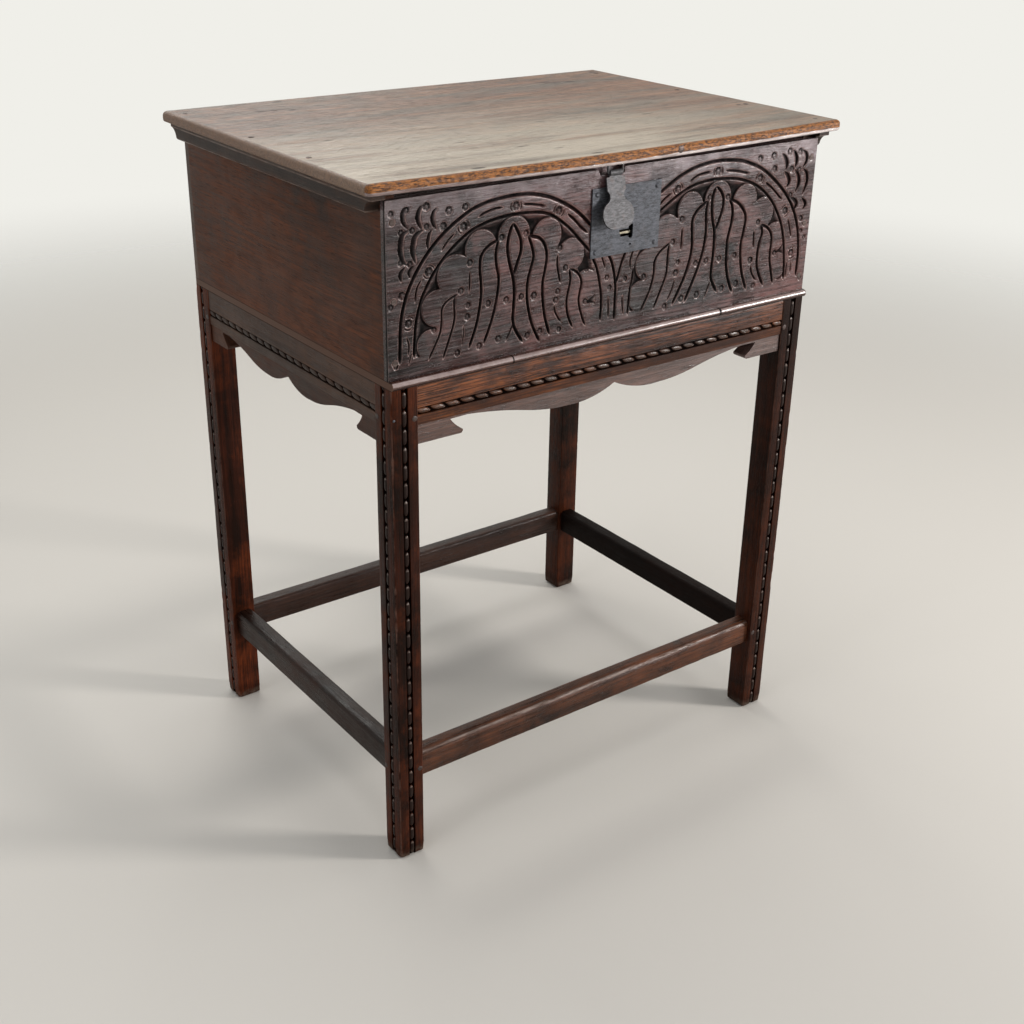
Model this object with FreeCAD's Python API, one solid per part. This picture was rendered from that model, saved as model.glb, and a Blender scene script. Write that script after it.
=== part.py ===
import FreeCAD, Part
import math
import os

# Bible box on a joined stand: a nailed oak box with a hinged lid, a hasp and a lock,
# carried by a stand with four legs, fretted aprons and low stretchers.
# Millimetres. +Z is up, the front faces -Y, and the origin is on the floor under the middle.

V = FreeCAD.Vector

# Box boards
box_width = 680.0
box_depth = 512.0
end_board_height = 216.0
lid_gap = 8.0                     # the front and back boards have shrunk this much below the lid
front_thickness = 20.0
back_thickness = 18.0
end_thickness = 18.0
lap_thickness = 10.0              # left of the front and back boards where they lap the ends
floor_thickness = 10.0
floor_nosing = 8.0                # the floor boards stand out this much in front
floor_joint_shares = (-0.247, 0.259)

# Lid and its cleats
lid_thickness = 14.0
lid_front_overhang = 10.0
lid_back_overhang = 2.0
lid_left_overhang = 27.0
lid_right_overhang = 34.0
lid_top_round = 6.5
lid_under_round = 3.5
lid_corner_round = 5.0
cleat_width = 18.0
cleat_depth = 21.0
cleat_gap = 0.5                   # between a cleat and the end board beside it
cleat_fillet = 6.0                # upright part of a cleat's shaped end
cleat_cove = 15.0                 # radius of the cove below it
cleat_arris = 2.0
cleat_front_reach = 2.0
cleat_back_setback = 2.0

# Stand
stand_height = 674.0
stand_proud = 3.5                 # the legs stand out this much from the box, front and back
leg_width = 37.0
leg_arris = 1.5
foot_chamfer = 3.0
rail_height = 50.0
rail_thickness = 26.0
rail_setback = 1.5
apron_height = 24.5
apron_thickness = 23.0
apron_setback = 1.5               # behind the face of the rail above it
stretcher_height = 38.0
stretcher_thickness = 25.0
stretcher_bottom = 119.0
stretcher_setback = 7.5
stretcher_round = 5.0
tenon_thickness = 10.0
rail_tenon_length = 16.0
rail_tenon_shoulder = 10.0        # above a rail's tenon
rail_tenon_foot = 3.0             # below it
stretcher_tenon_length = 11.0
stretcher_tenon_shoulder = 5.0
peg_radius = 3.5
peg_length = 28.0
peg_inset = 5.0                   # from the leg's inner face
rail_peg_height = 10.0            # above the rail's lower edge
stretcher_peg_height = 19.0       # above the stretcher's lower edge

# Carved run: a half-round bead in a sunk channel
channel_width = 9.5
channel_depth = 2.5
bead_radius = 2.4
rail_channel_height = 17.0        # of the channel's middle above the rail's lower edge

# Apron outline, as shares of half its length and of its height
cusp_shares = (0.0, 0.63)
lobe_side_shares = (0.10, 0.17)
lobe_low_shares = (0.25, 0.0)
ogee_low_shares = (0.36, 0.08)
ogee_middle_shares = (0.47, 0.32)
ogee_high_shares = (0.62, 0.69)
arch_shares = (0.76, 0.90)
notch_shares = (0.845, 0.88)
beak_top_shares = (0.812, 0.44)
beak_tip_shares = (0.785, 0.20)
beak_nose_shares = (0.786, 0.07)
beak_foot_shares = (0.797, 0.0)

# Nails
nail_radius = 1.5
nail_head_radius = 3.5
nail_head_height = 1.2
board_nail_length = 38.0
cleat_nail_length = 30.0
apron_nail_length = 36.0
end_nail_shares = (0.10, 0.45, 0.88)       # up the corner of the box
front_nail_shares = (-0.44, -0.30, -0.10, 0.10, 0.31, 0.44)    # along the front and the back
side_nail_shares = (-0.25, 0.25)           # along the ends
cleat_nail_shares = (-0.21, 0.07, 0.44)    # along the cleats
apron_nail_shares = (-0.92, -0.25, 0.25, 0.92)

# Wire hinges: two linked eyes on each side of the lid
hinge_place_share = 0.353                  # of the box width, each side of the middle
hinge_standoff = 7.4                       # of the axis behind the back board
hinge_rise = 1.0                           # of the axis above the back board's top edge
hinge_wire_radius = 1.1
hinge_eye_radius = 4.0
box_shank_slope = 40.0                     # degrees down into the back board
lid_shank_slope = 15.0                     # degrees up through the lid
clench_reach = 22.0                        # of each bent-over end, to left and right

# Lock plate and what lies behind it
plate_left = -50.0
plate_right = 60.0
plate_top_drop = 22.0                      # below the front board's top edge
plate_height = 85.0
plate_thickness = 2.0
plate_nail_inset = 7.0
plate_nail_dome = 1.6
plate_nail_length = 16.0
mortise_margin = 8.0                       # of the plate around the lock's mortise
keyhole_x = 13.2
keyhole_width = 7.0
keyhole_height = 18.5
keyhole_lift = 17.5                        # of its lower end above the plate's lower edge
slot_left = -6.0                           # the worn arm beside the keyhole
slot_height = 9.0
slot_lift = 21.0
slot_bevel = 3.0
vent_radius = 1.5                          # a small round hole below the keyhole
vent_lift = 10.0
cover_thickness = 1.5
cover_margin = 6.0
bolt_height = 5.0
bolt_thickness = 3.5
bolt_play = 0.3
bolt_travel = 9.0                          # to the left, through the hasp's loop
bolt_lug_drop = 9.0                        # the lug that the key moves
bolt_lug_width = 18.0
bolt_talon_width = 7.0
bolt_talon_depth = 6.0
guide_width = 5.0
guide_wall = 2.5
guide_first_x = -14.5
guide_second_x = 27.0
spring_thickness = 1.0
spring_width = 4.0
spring_rise = 5.0
spring_length = 22.0
key_pin_radius = 1.5
key_pin_gap = 5.0                          # from the plate's back to the pin's end
ward_height = 2.6
ward_gap = 1.6                             # from the plate's back to the ward's edge
ward_right = 15.8
ward_lift = 23.4

# Hasp, hung from a staple under the lid's front edge
hasp_x = -18.5
hasp_axis_setback = 5.5                    # of the staple behind the lid's front edge
hasp_axis_drop = 12.5                      # of the staple below the lid's underside
hasp_thickness = 2.5
hasp_neck_width = 28.4
hasp_drop = 45.0                           # from the staple to the middle of the loop
hasp_oval_width = 48.8
hasp_oval_radius = 17.0                    # of the oval's round ends
hasp_oval_drop = 50.0                      # from the staple to the middle of the oval
hasp_bite_radius = 8.5
hasp_bite_clear = 5.2                      # from the neck's edge to the middle of the bite
hasp_bite_drop = 27.6
hasp_shoulder_drop = 5.0
hasp_lean = 12.0                           # degrees that it hangs out at rest
seat_gap = 0.2                             # between the closed hasp and the lock plate
knuckle_width = 19.0
knuckle_wall = 2.2
knuckle_play = 0.05
staple_radius = 1.5
staple_play = 0.5
loop_thickness = 2.5
loop_height = 13.0
loop_wall = 2.5
loop_slot_play = 0.6
notch_width = 38.0                         # in the front board's top edge, for the knuckle
notch_depth = 7.0
notch_bevel = 4.0
notch_inset = 12.0

overrun = 2.0                              # how far a cutting tool runs past what it cuts

# Places worked out from the sizes above
half_width = box_width / 2
half_depth = box_depth / 2
floor_top = stand_height + floor_thickness
wall_top = floor_top + end_board_height
front_top = wall_top - lid_gap
lid_top = wall_top + lid_thickness
lid_front = -half_depth - lid_front_overhang
lid_back = half_depth + lid_back_overhang
stand_half_depth = half_depth + stand_proud
leg_inner_x = half_width - leg_width
leg_inner_y = stand_half_depth - leg_width
rail_bottom = stand_height - rail_height
hinge_axis = (half_depth + hinge_standoff, front_top + hinge_rise)
plate_top = front_top - plate_top_drop
plate_bottom = plate_top - plate_height
plate_back = -half_depth
plate_face = plate_back - plate_thickness
hasp_axis = (lid_front + hasp_axis_setback, wall_top - hasp_axis_drop)
loop_z = hasp_axis[1] - hasp_drop


def box(x0, x1, y0, y1, z0, z1):
    return Part.makeBox(x1 - x0, y1 - y0, z1 - z0, V(x0, y0, z0))


def in_xz(y):
    return lambda point: V(point[0], y, point[1])


def in_yz(x):
    return lambda point: V(x, point[0], point[1])


def outline(place, start, steps):
    """A face. Each step is a corner, or a pair: a point on an arc, and the arc's end."""
    edges, here = [], start
    for step in steps:
        curved = isinstance(step[0], tuple)
        end = step[1] if curved else step
        if curved:
            edges.append(Part.Arc(place(here), place(step[0]), place(end)).toShape())
        else:
            edges.append(Part.makeLine(place(here), place(end)))
        here = end
    edges.append(Part.makeLine(place(here), place(start)))
    return Part.Face(Part.Wire(edges))


def on_circle(centre, radius, degrees):
    angle = math.radians(degrees)
    return (centre[0] + radius * math.cos(angle), centre[1] + radius * math.sin(angle))


def cut(solid, *tools):
    return solid.cut(Part.makeCompound(list(tools))).removeSplitter()


def join(*solids):
    return solids[0].fuse(list(solids[1:])).removeSplitter()


def nail(head, direction, length, head_radius=nail_head_radius, dome=0.0):
    """A nail driven along a direction from the middle of its head, which a dome may crown."""
    shank = Part.makeCylinder(nail_radius, length, head, direction)
    if dome:
        return join(shank, Part.makeCone(head_radius, head_radius / 2, dome, head, direction * -1))
    return join(shank, Part.makeCylinder(head_radius, nail_head_height, head, direction))


def corner_nails(side_y):
    """Nails through the laps of the front (-1) or back (+1) board into both end boards."""
    nails = []
    for side_x in (-1, 1):
        x = side_x * (half_width - end_thickness / 2)
        for share in end_nail_shares:
            z = floor_top + share * (front_top - floor_top)
            nails.append(nail(V(x, side_y * half_depth, z), V(0, -side_y, 0), board_nail_length))
    return nails


def floor_nails():
    """Nails up through the floor boards into the four walls."""
    feet = [(share * box_width, -half_depth + front_thickness / 2) for share in front_nail_shares]
    feet += [(share * box_width, half_depth - back_thickness / 2) for share in front_nail_shares]
    for side_x in (-1, 1):
        x = side_x * (half_width - end_thickness / 2)
        feet += [(x, share * box_depth) for share in side_nail_shares]
    return [nail(V(x, y, stand_height), V(0, 0, 1), board_nail_length) for x, y in feet]


def cleat_middle(side):
    return side * (half_width + cleat_gap + cleat_width / 2)


def cleat_nails():
    """Nails down through the lid into its cleats."""
    return [nail(V(cleat_middle(side), share * box_depth, lid_top), V(0, 0, -1), cleat_nail_length)
            for side in (-1, 1) for share in cleat_nail_shares]


def lapped_board(side_y, thickness):
    """Front (-1) or back (+1) board, rebated at both ends over the end boards."""
    face = side_y * half_depth
    inner = side_y * (half_depth - thickness)
    step = side_y * (half_depth - lap_thickness)
    board = box(-half_width, half_width, min(face, inner), max(face, inner), floor_top, front_top)
    for side_x in (-1, 1):
        near = side_x * (half_width - end_thickness)
        far = side_x * (half_width + overrun)
        past = inner - side_y * overrun
        board = cut(board, box(min(near, far), max(near, far), min(step, past), max(step, past),
                               floor_top - overrun, front_top + overrun))
    return board


def end_board(side_x):
    outer = side_x * half_width
    inner = side_x * (half_width - end_thickness)
    reach = half_depth - lap_thickness
    return box(min(outer, inner), max(outer, inner), -reach, reach, floor_top, wall_top)


def lock_mortise():
    return box(plate_left + mortise_margin, plate_right - mortise_margin,
               -half_depth - overrun, -half_depth + front_thickness + overrun,
               plate_bottom + mortise_margin, plate_top - mortise_margin)


def knuckle_notch():
    """The notch in the front board's top edge, with one bevelled side."""
    left = hasp_x - notch_width / 2
    right = hasp_x + notch_width / 2
    low = front_top - notch_depth
    high = front_top + overrun
    face = outline(in_xz(-half_depth - overrun), (left, low),
                   [(right, low), (right, high), (left - notch_bevel, high),
                    (left - notch_bevel, front_top)])
    return face.extrude(V(0, overrun + notch_inset, 0))


def floor_board(left, right):
    """One of the boards that run front to back, with its front edge rounded."""
    front = -half_depth - floor_nosing
    middle = stand_height + floor_thickness / 2
    start = front + floor_thickness / 2
    face = outline(in_yz(left), (half_depth, stand_height),
                   [(half_depth, floor_top), (start, floor_top),
                    ((front, middle), (start, stand_height))])
    return face.extrude(V(right - left, 0, 0))


def lid_blank():
    """The lid with its front and side edges rounded."""
    board = box(-half_width - lid_left_overhang, half_width + lid_right_overhang,
                lid_front, lid_back, wall_top, lid_top)
    upright = [edge for edge in board.Edges
               if abs(edge.CenterOfMass.z - (wall_top + lid_top) / 2) < overrun
               and edge.CenterOfMass.y < 0]
    board = board.makeFillet(lid_corner_round, upright)
    for level, radius in ((lid_top, lid_top_round), (wall_top, lid_under_round)):
        rim = [edge for edge in board.Edges
               if abs(edge.BoundBox.ZMin - level) < overrun and edge.BoundBox.ZLength < overrun
               and edge.CenterOfMass.y < lid_back - overrun]
        board = board.makeFillet(radius, rim)
    return board


def cleat(side):
    """A batten under the lid's edge, outside the box, with coved ends."""
    low = wall_top - cleat_depth
    step = wall_top - cleat_fillet
    front = -half_depth - cleat_front_reach
    back = half_depth - cleat_back_setback
    front_cove = on_circle((front, step - cleat_cove), cleat_cove, 45)
    back_cove = on_circle((back, step - cleat_cove), cleat_cove, 135)
    place = in_yz(side * (half_width + cleat_gap))
    face = outline(place, (front, wall_top),
                   [(front, step), (front_cove, (front + cleat_cove, low)),
                    (back - cleat_cove, low), (back_cove, (back, step)), (back, wall_top)])
    batten = face.extrude(V(side * cleat_width, 0, 0))
    arris = [edge for edge in batten.Edges
             if abs(edge.CenterOfMass.z - low) < cleat_arris / 2
             and abs(edge.CenterOfMass.x) > half_width + cleat_width]
    return batten.makeChamfer(cleat_arris, arris)


def ring(middle, axis):
    return Part.makeTorus(hinge_eye_radius, hinge_wire_radius, middle, axis)


def shank(x, slope, start, length):
    """Two wires side by side, running forward from the hinge axis at a slope in degrees."""
    bar = box(-2 * hinge_wire_radius, 2 * hinge_wire_radius, -start - length, -start,
              -hinge_wire_radius, hinge_wire_radius)
    bar.rotate(V(0, 0, 0), V(1, 0, 0), -slope)
    bar.translate(V(x, hinge_axis[0], hinge_axis[1]))
    return bar


def box_hinge_eye(x):
    """The eye driven down through the back board and clenched on its inner face."""
    slope = math.radians(-box_shank_slope)
    reach = hinge_eye_radius
    middle = V(x, hinge_axis[0] - reach * math.cos(slope), hinge_axis[1] + reach * math.sin(slope))
    eye = ring(middle, V(0, math.sin(slope), math.cos(slope)))
    inner = half_depth - back_thickness
    run = (hinge_axis[0] - inner) / math.cos(slope)
    start = 2 * hinge_eye_radius
    end_z = hinge_axis[1] + run * math.sin(slope)
    bar = shank(x, -box_shank_slope, start, run - start + hinge_wire_radius)
    clench = box(x - clench_reach, x + clench_reach, inner - 2 * hinge_wire_radius, inner,
                 end_z - 2 * hinge_wire_radius, end_z + hinge_wire_radius)
    return join(eye, bar, clench)


def lid_hinge_eye(x):
    """The eye whose shank slants up through the lid and is clenched flush with its top."""
    eye = ring(V(x, hinge_axis[0], hinge_axis[1]), V(1, 0, 0))
    slope = math.radians(lid_shank_slope)
    rise = lid_top - hinge_axis[1]
    start = hinge_eye_radius
    run = rise / math.sin(slope)
    bar = shank(x, lid_shank_slope, start, run - start)
    top_y = hinge_axis[0] - rise / math.tan(slope)
    bar = cut(bar, box(x - clench_reach, x + clench_reach, top_y - clench_reach, lid_back,
                       lid_top, lid_top + clench_reach))
    clench = box(x - clench_reach, x + clench_reach, top_y, top_y + 2 * hinge_wire_radius,
                 lid_top - 2 * hinge_wire_radius, lid_top)
    return join(eye, bar, clench)


def keyhole():
    """The upright keyhole with rounded ends and the worn arm at its left."""
    radius = keyhole_width / 2
    low = plate_bottom + keyhole_lift + radius
    high = plate_bottom + keyhole_lift + keyhole_height - radius
    left, right = keyhole_x - radius, keyhole_x + radius
    front = plate_face - overrun
    upright = outline(in_xz(front), (left, low),
                      [((keyhole_x, low - radius), (right, low)), (right, high),
                       ((keyhole_x, high + radius), (left, high))])
    foot = plate_bottom + slot_lift
    arm = outline(in_xz(front), (slot_left, foot + slot_height),
                  [(slot_left + slot_bevel, foot), (keyhole_x, foot),
                   (keyhole_x, foot + slot_height)])
    through = V(0, plate_thickness + 2 * overrun, 0)
    return join(upright.extrude(through), arm.extrude(through))


def lock_plate():
    plate = box(plate_left, plate_right, plate_face, plate_back, plate_bottom, plate_top)
    slot = box(hasp_x - loop_thickness / 2 - loop_slot_play, hasp_x + loop_thickness / 2 + loop_slot_play,
               plate_face - overrun, plate_back + overrun,
               loop_z - loop_height / 2 - loop_slot_play, loop_z + loop_height / 2 + loop_slot_play)
    vent = Part.makeCylinder(vent_radius, plate_thickness + 2 * overrun,
                             V(keyhole_x, plate_face - overrun, plate_bottom + vent_lift), V(0, 1, 0))
    return cut(plate, slot, vent, keyhole())


def plate_nails():
    places = [(x, z) for x in (plate_left + plate_nail_inset, plate_right - plate_nail_inset)
              for z in (plate_bottom + plate_nail_inset, plate_top - plate_nail_inset)]
    return [nail(V(x, plate_face, z), V(0, 1, 0), plate_nail_length, dome=plate_nail_dome)
            for x, z in places]


def lock_cover():
    """The thin iron sheet that closes the mortise on the inside."""
    inner = -half_depth + front_thickness
    return box(plate_left + mortise_margin - cover_margin, plate_right - mortise_margin + cover_margin,
               inner, inner + cover_thickness,
               plate_bottom + mortise_margin - cover_margin, plate_top - mortise_margin + cover_margin)


def bolt_tip():
    return hasp_x + loop_thickness / 2 + loop_slot_play + bolt_play


def lock_bolt():
    """The sliding bolt, drawn back, with a lug notched for the key."""
    tip = bolt_tip()
    tail = guide_second_x + guide_width + bolt_travel + bolt_play
    back = plate_back + bolt_play + bolt_thickness
    bar = box(tip, tail, plate_back + bolt_play, back,
              loop_z - bolt_height / 2, loop_z + bolt_height / 2)
    lug_low = loop_z - bolt_height / 2 - bolt_lug_drop
    lug = box(keyhole_x - bolt_lug_width / 2, keyhole_x + bolt_lug_width / 2,
              plate_back + bolt_play, back, lug_low, loop_z)
    talon = box(keyhole_x - bolt_talon_width / 2, keyhole_x + bolt_talon_width / 2,
                plate_back - overrun, back + overrun, lug_low - overrun, lug_low + bolt_talon_depth)
    return cut(join(bar, lug), talon)


def bolt_guide(x):
    """A bridge on the plate's back that the bolt slides through."""
    top = loop_z + bolt_height / 2 + bolt_play
    low = loop_z - bolt_height / 2 - bolt_play
    back = plate_back + bolt_thickness + 2 * bolt_play
    bridge = box(x, x + guide_width, plate_back, back + guide_wall, low - guide_wall, top + guide_wall)
    return cut(bridge, box(x - overrun, x + guide_width + overrun, plate_back - overrun, back, low, top))


def bolt_spring():
    """A bowed leaf that presses on the bolt, with its foot on the second guide."""
    right = guide_second_x + guide_width
    foot = loop_z + bolt_height / 2 + bolt_play + guide_wall
    rest = loop_z + bolt_height / 2 + bolt_play
    high = foot + spring_rise
    left = right - guide_width - spring_length
    bend = right - guide_width
    place = in_xz(plate_back + bolt_play)
    leaf = outline(place, (right, foot),
                   [(right, high), (bend, high), (left, rest + spring_thickness), (left, rest),
                    (bend, high - spring_thickness), (right - spring_thickness, high - spring_thickness),
                    (right - spring_thickness, foot)])
    return leaf.extrude(V(0, spring_width, 0))


def key_pin():
    inner = -half_depth + front_thickness
    z = plate_bottom + keyhole_lift + keyhole_height - keyhole_width / 2
    start = plate_back + key_pin_gap
    return Part.makeCylinder(key_pin_radius, inner - start, V(keyhole_x, start, z), V(0, 1, 0))


def lock_ward():
    """The fixed leaf that shows bright behind the worn arm of the keyhole."""
    low = plate_bottom + ward_lift
    return box(slot_left, ward_right, plate_back + ward_gap, -half_depth + front_thickness,
               low, low + ward_height)


def hasp():
    """The hasp closed against the plate: a rolled knuckle, a neck with two bites and an oval."""
    back = plate_face - seat_gap
    front = back - hasp_thickness
    axis_y, axis_z = hasp_axis
    hole = staple_radius + knuckle_play
    roll = hole + knuckle_wall
    half_neck = hasp_neck_width / 2
    half_knuckle = knuckle_width / 2
    oval_z = axis_z - hasp_oval_drop
    half_straight = hasp_oval_width / 2 - hasp_oval_radius
    ends = [Part.makeCylinder(hasp_oval_radius, hasp_thickness,
                              V(hasp_x + side * half_straight, front, oval_z),
                              V(0, 1, 0)) for side in (-1, 1)]
    middle = box(hasp_x - half_straight, hasp_x + half_straight, front, back,
                 oval_z - hasp_oval_radius, oval_z + hasp_oval_radius)
    neck = box(hasp_x - half_neck, hasp_x + half_neck, front, back,
               axis_z - hasp_drop, axis_z - hasp_shoulder_drop)
    tongue = box(hasp_x - half_knuckle, hasp_x + half_knuckle, front, back,
                 axis_z - hasp_shoulder_drop, axis_z)
    knuckle = Part.makeCylinder(roll, knuckle_width,
                                V(hasp_x - half_knuckle, axis_y, axis_z), V(1, 0, 0))
    bore = Part.makeCylinder(hole, knuckle_width + 2 * overrun,
                             V(hasp_x - half_knuckle - overrun, axis_y, axis_z), V(1, 0, 0))
    bite_x = half_neck + hasp_bite_clear
    bites = [Part.makeCylinder(hasp_bite_radius, hasp_thickness + 2 * overrun,
                               V(hasp_x + side * bite_x, front - overrun, axis_z - hasp_bite_drop),
                               V(0, 1, 0)) for side in (-1, 1)]
    return cut(join(middle, *ends, neck, tongue, knuckle), bore, *bites)


def hasp_loop():
    """The small loop behind the oval that the thrown bolt fills, closed position."""
    back = plate_face - seat_gap
    outer = loop_height / 2
    inner = outer - loop_wall
    bolt_back = plate_back + bolt_play + bolt_thickness
    bend = bolt_back - math.sqrt((inner - bolt_play) ** 2 - (bolt_height / 2) ** 2)
    place = in_yz(hasp_x - loop_thickness / 2)
    body = outline(place, (back, loop_z - outer),
                   [(bend, loop_z - outer), ((bend + outer, loop_z), (bend, loop_z + outer)),
                    (back, loop_z + outer)])
    hole = outline(place, (back, loop_z - inner),
                   [(bend, loop_z - inner), ((bend + inner, loop_z), (bend, loop_z + inner)),
                    (back, loop_z + inner)])
    through = V(loop_thickness, 0, 0)
    return body.extrude(through).cut(hole.extrude(through))


def lean_out(solid):
    """Turns a closed hasp piece about its staple to where it hangs at rest."""
    turned = solid.copy()
    turned.rotate(V(hasp_x, hasp_axis[0], hasp_axis[1]), V(1, 0, 0), -hasp_lean)
    return turned


def lid_staple():
    """The round bar under the lid that carries the hasp, with its legs up through the lid."""
    y, z = hasp_axis
    half = knuckle_width / 2 + staple_play + staple_radius
    pieces = [Part.makeCylinder(staple_radius, 2 * half, V(hasp_x - half, y, z), V(1, 0, 0))]
    for side in (-1, 1):
        x = hasp_x + side * half
        pieces.append(Part.makeCylinder(staple_radius, lid_top - z, V(x, y, z), V(0, 0, 1)))
        pieces.append(Part.makeSphere(staple_radius, V(x, y, z)))
    return join(*pieces)


def channel(start, across, outward, run):
    """Tool that sinks a channel along a run and leaves a half-round bead standing in it."""
    half = channel_width / 2

    def place(point):
        return start + across * point[0] + outward * point[1]
    face = outline(place, (-half, overrun),
                   [(-half, -channel_depth), (-bead_radius, -channel_depth),
                    ((0, bead_radius - channel_depth), (bead_radius, -channel_depth)),
                    (half, -channel_depth), (half, overrun)])
    return face.extrude(run)


def peg(side_x, side_y, z, along_y):
    """A peg through a leg and a tenon, driven from the leg's outer face."""
    if along_y:
        start = V(side_x * (leg_inner_x + peg_inset), side_y * stand_half_depth, z)
        return Part.makeCylinder(peg_radius, peg_length, start, V(0, -side_y, 0))
    start = V(side_x * half_width, side_y * (leg_inner_y + peg_inset), z)
    return Part.makeCylinder(peg_radius, peg_length, start, V(-side_x, 0, 0))


def rail_peg(side_x, side_y, along_y):
    return peg(side_x, side_y, rail_bottom + rail_peg_height, along_y)


def stretcher_peg(side_x, side_y, along_y):
    return peg(side_x, side_y, stretcher_bottom + stretcher_peg_height, along_y)


def corner_pegs(side_x, side_y):
    return [maker(side_x, side_y, along_y)
            for maker in (rail_peg, stretcher_peg) for along_y in (True, False)]


def tenoned(body, middle, reach, length, low, high, along_x):
    """A rail or stretcher with a tenon at both ends; its tenons lie on the line at middle."""
    half = tenon_thickness / 2
    tenons = []
    for side in (-1, 1):
        near, far = sorted((side * reach, side * (reach + length)))
        if along_x:
            tenons.append(box(near, far, middle - half, middle + half, low, high))
        else:
            tenons.append(box(middle - half, middle + half, near, far, low, high))
    return join(body, *tenons)


def rail_middle(half_size):
    return half_size - rail_setback - rail_thickness / 2


def long_rail(side_y):
    """Front (-1) or back (+1) rail; only the front one is carved."""
    middle = side_y * rail_middle(stand_half_depth)
    half = rail_thickness / 2
    body = box(-leg_inner_x, leg_inner_x, middle - half, middle + half, rail_bottom, stand_height)
    if side_y < 0:
        start = V(-leg_inner_x, middle - half, rail_bottom + rail_channel_height)
        body = cut(body, channel(start, V(0, 0, 1), V(0, -1, 0), V(2 * leg_inner_x, 0, 0)))
    rail = tenoned(body, middle, leg_inner_x, rail_tenon_length,
                   rail_bottom + rail_tenon_foot, stand_height - rail_tenon_shoulder, True)
    return cut(rail, *[rail_peg(side_x, side_y, True) for side_x in (-1, 1)])


def side_rail(side_x):
    middle = side_x * rail_middle(half_width)
    half = rail_thickness / 2
    body = box(middle - half, middle + half, -leg_inner_y, leg_inner_y, rail_bottom, stand_height)
    start = V(middle + side_x * half, -leg_inner_y, rail_bottom + rail_channel_height)
    body = cut(body, channel(start, V(0, 0, 1), V(side_x, 0, 0), V(0, 2 * leg_inner_y, 0)))
    rail = tenoned(body, middle, leg_inner_y, rail_tenon_length,
                   rail_bottom + rail_tenon_foot, stand_height - rail_tenon_shoulder, False)
    return cut(rail, *[rail_peg(side_x, side_y, False) for side_y in (-1, 1)])


def stretcher_middle(half_size):
    return half_size - stretcher_setback - stretcher_thickness / 2


def stretcher_section(place):
    """Upright section with both upper edges rounded, centred on zero."""
    half = stretcher_thickness / 2
    top = stretcher_bottom + stretcher_height
    left = (stretcher_round - half, top - stretcher_round)
    right = (half - stretcher_round, top - stretcher_round)
    return outline(place, (-half, stretcher_bottom),
                   [(-half, left[1]), (on_circle(left, stretcher_round, 135), (left[0], top)),
                    (right[0], top), (on_circle(right, stretcher_round, 45), (half, right[1])),
                    (half, stretcher_bottom)])


def stretcher(side_x, side_y):
    """The stretcher on the side that isn't zero."""
    low = stretcher_bottom + stretcher_tenon_shoulder
    high = stretcher_bottom + stretcher_height - stretcher_tenon_shoulder
    if side_y:
        middle = side_y * stretcher_middle(stand_half_depth)
        section = stretcher_section(lambda point: V(-leg_inner_x, middle + point[0], point[1]))
        body = section.extrude(V(2 * leg_inner_x, 0, 0))
        bar = tenoned(body, middle, leg_inner_x, stretcher_tenon_length, low, high, True)
        return cut(bar, *[stretcher_peg(side, side_y, True) for side in (-1, 1)])
    middle = side_x * stretcher_middle(half_width)
    section = stretcher_section(lambda point: V(middle + point[0], -leg_inner_y, point[1]))
    body = section.extrude(V(0, 2 * leg_inner_y, 0))
    bar = tenoned(body, middle, leg_inner_y, stretcher_tenon_length, low, high, False)
    return cut(bar, *[stretcher_peg(side_x, side, False) for side in (-1, 1)])


def leg(side_x, side_y, joined):
    """A corner post, mortised for the pieces that join it, with carved outer faces."""
    outer_x, inner_x = side_x * half_width, side_x * leg_inner_x
    outer_y, inner_y = side_y * stand_half_depth, side_y * leg_inner_y
    post = box(min(outer_x, inner_x), max(outer_x, inner_x),
               min(outer_y, inner_y), max(outer_y, inner_y), 0, stand_height)
    post = post.makeFillet(leg_arris, [edge for edge in post.Edges if edge.BoundBox.ZLength > leg_width])
    post = post.makeChamfer(foot_chamfer, [edge for edge in post.Edges if edge.BoundBox.ZMax < overrun])
    middle_x = (outer_x + inner_x) / 2
    middle_y = (outer_y + inner_y) / 2
    upward = V(0, 0, stand_height)
    tools = [channel(V(outer_x, middle_y, 0), V(0, 1, 0), V(side_x, 0, 0), upward)]
    if side_y < 0:
        tools.append(channel(V(middle_x, outer_y, 0), V(1, 0, 0), V(0, side_y, 0), upward))
    return cut(post, *tools, *joined, *corner_pegs(side_x, side_y))


def apron(half_span, place, thickness):
    """A fretted board: two lobes that meet in a cusp, and a beaked bracket at each end."""
    low = rail_bottom - apron_height

    def at(side, shares):
        return (side * shares[0] * half_span, low + shares[1] * apron_height)
    steps = [(half_span, rail_bottom), (half_span, low), at(1, beak_foot_shares),
             (at(1, beak_nose_shares), at(1, beak_tip_shares)),
             (at(1, beak_top_shares), at(1, notch_shares)), at(1, arch_shares),
             (at(1, ogee_high_shares), at(1, ogee_middle_shares)),
             (at(1, ogee_low_shares), at(1, lobe_low_shares)),
             (at(1, lobe_side_shares), at(1, cusp_shares)),
             (at(-1, lobe_side_shares), at(-1, lobe_low_shares)),
             (at(-1, ogee_low_shares), at(-1, ogee_middle_shares)),
             (at(-1, ogee_high_shares), at(-1, arch_shares)), at(-1, notch_shares),
             (at(-1, beak_top_shares), at(-1, beak_tip_shares)),
             (at(-1, beak_nose_shares), at(-1, beak_foot_shares)), (-half_span, low)]
    return outline(place, (-half_span, rail_bottom), steps).extrude(thickness)


def apron_nails(half_span, spot):
    """Nails up through an apron into its rail; spot gives a nail's foot for a place along it."""
    return [nail(spot(share * half_span), V(0, 0, 1), apron_nail_length) for share in apron_nail_shares]


def lobe_foot(shift, middle, along_x):
    low = rail_bottom - apron_height
    return V(shift, middle, low) if along_x else V(middle, shift, low)


parts = {}

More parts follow.
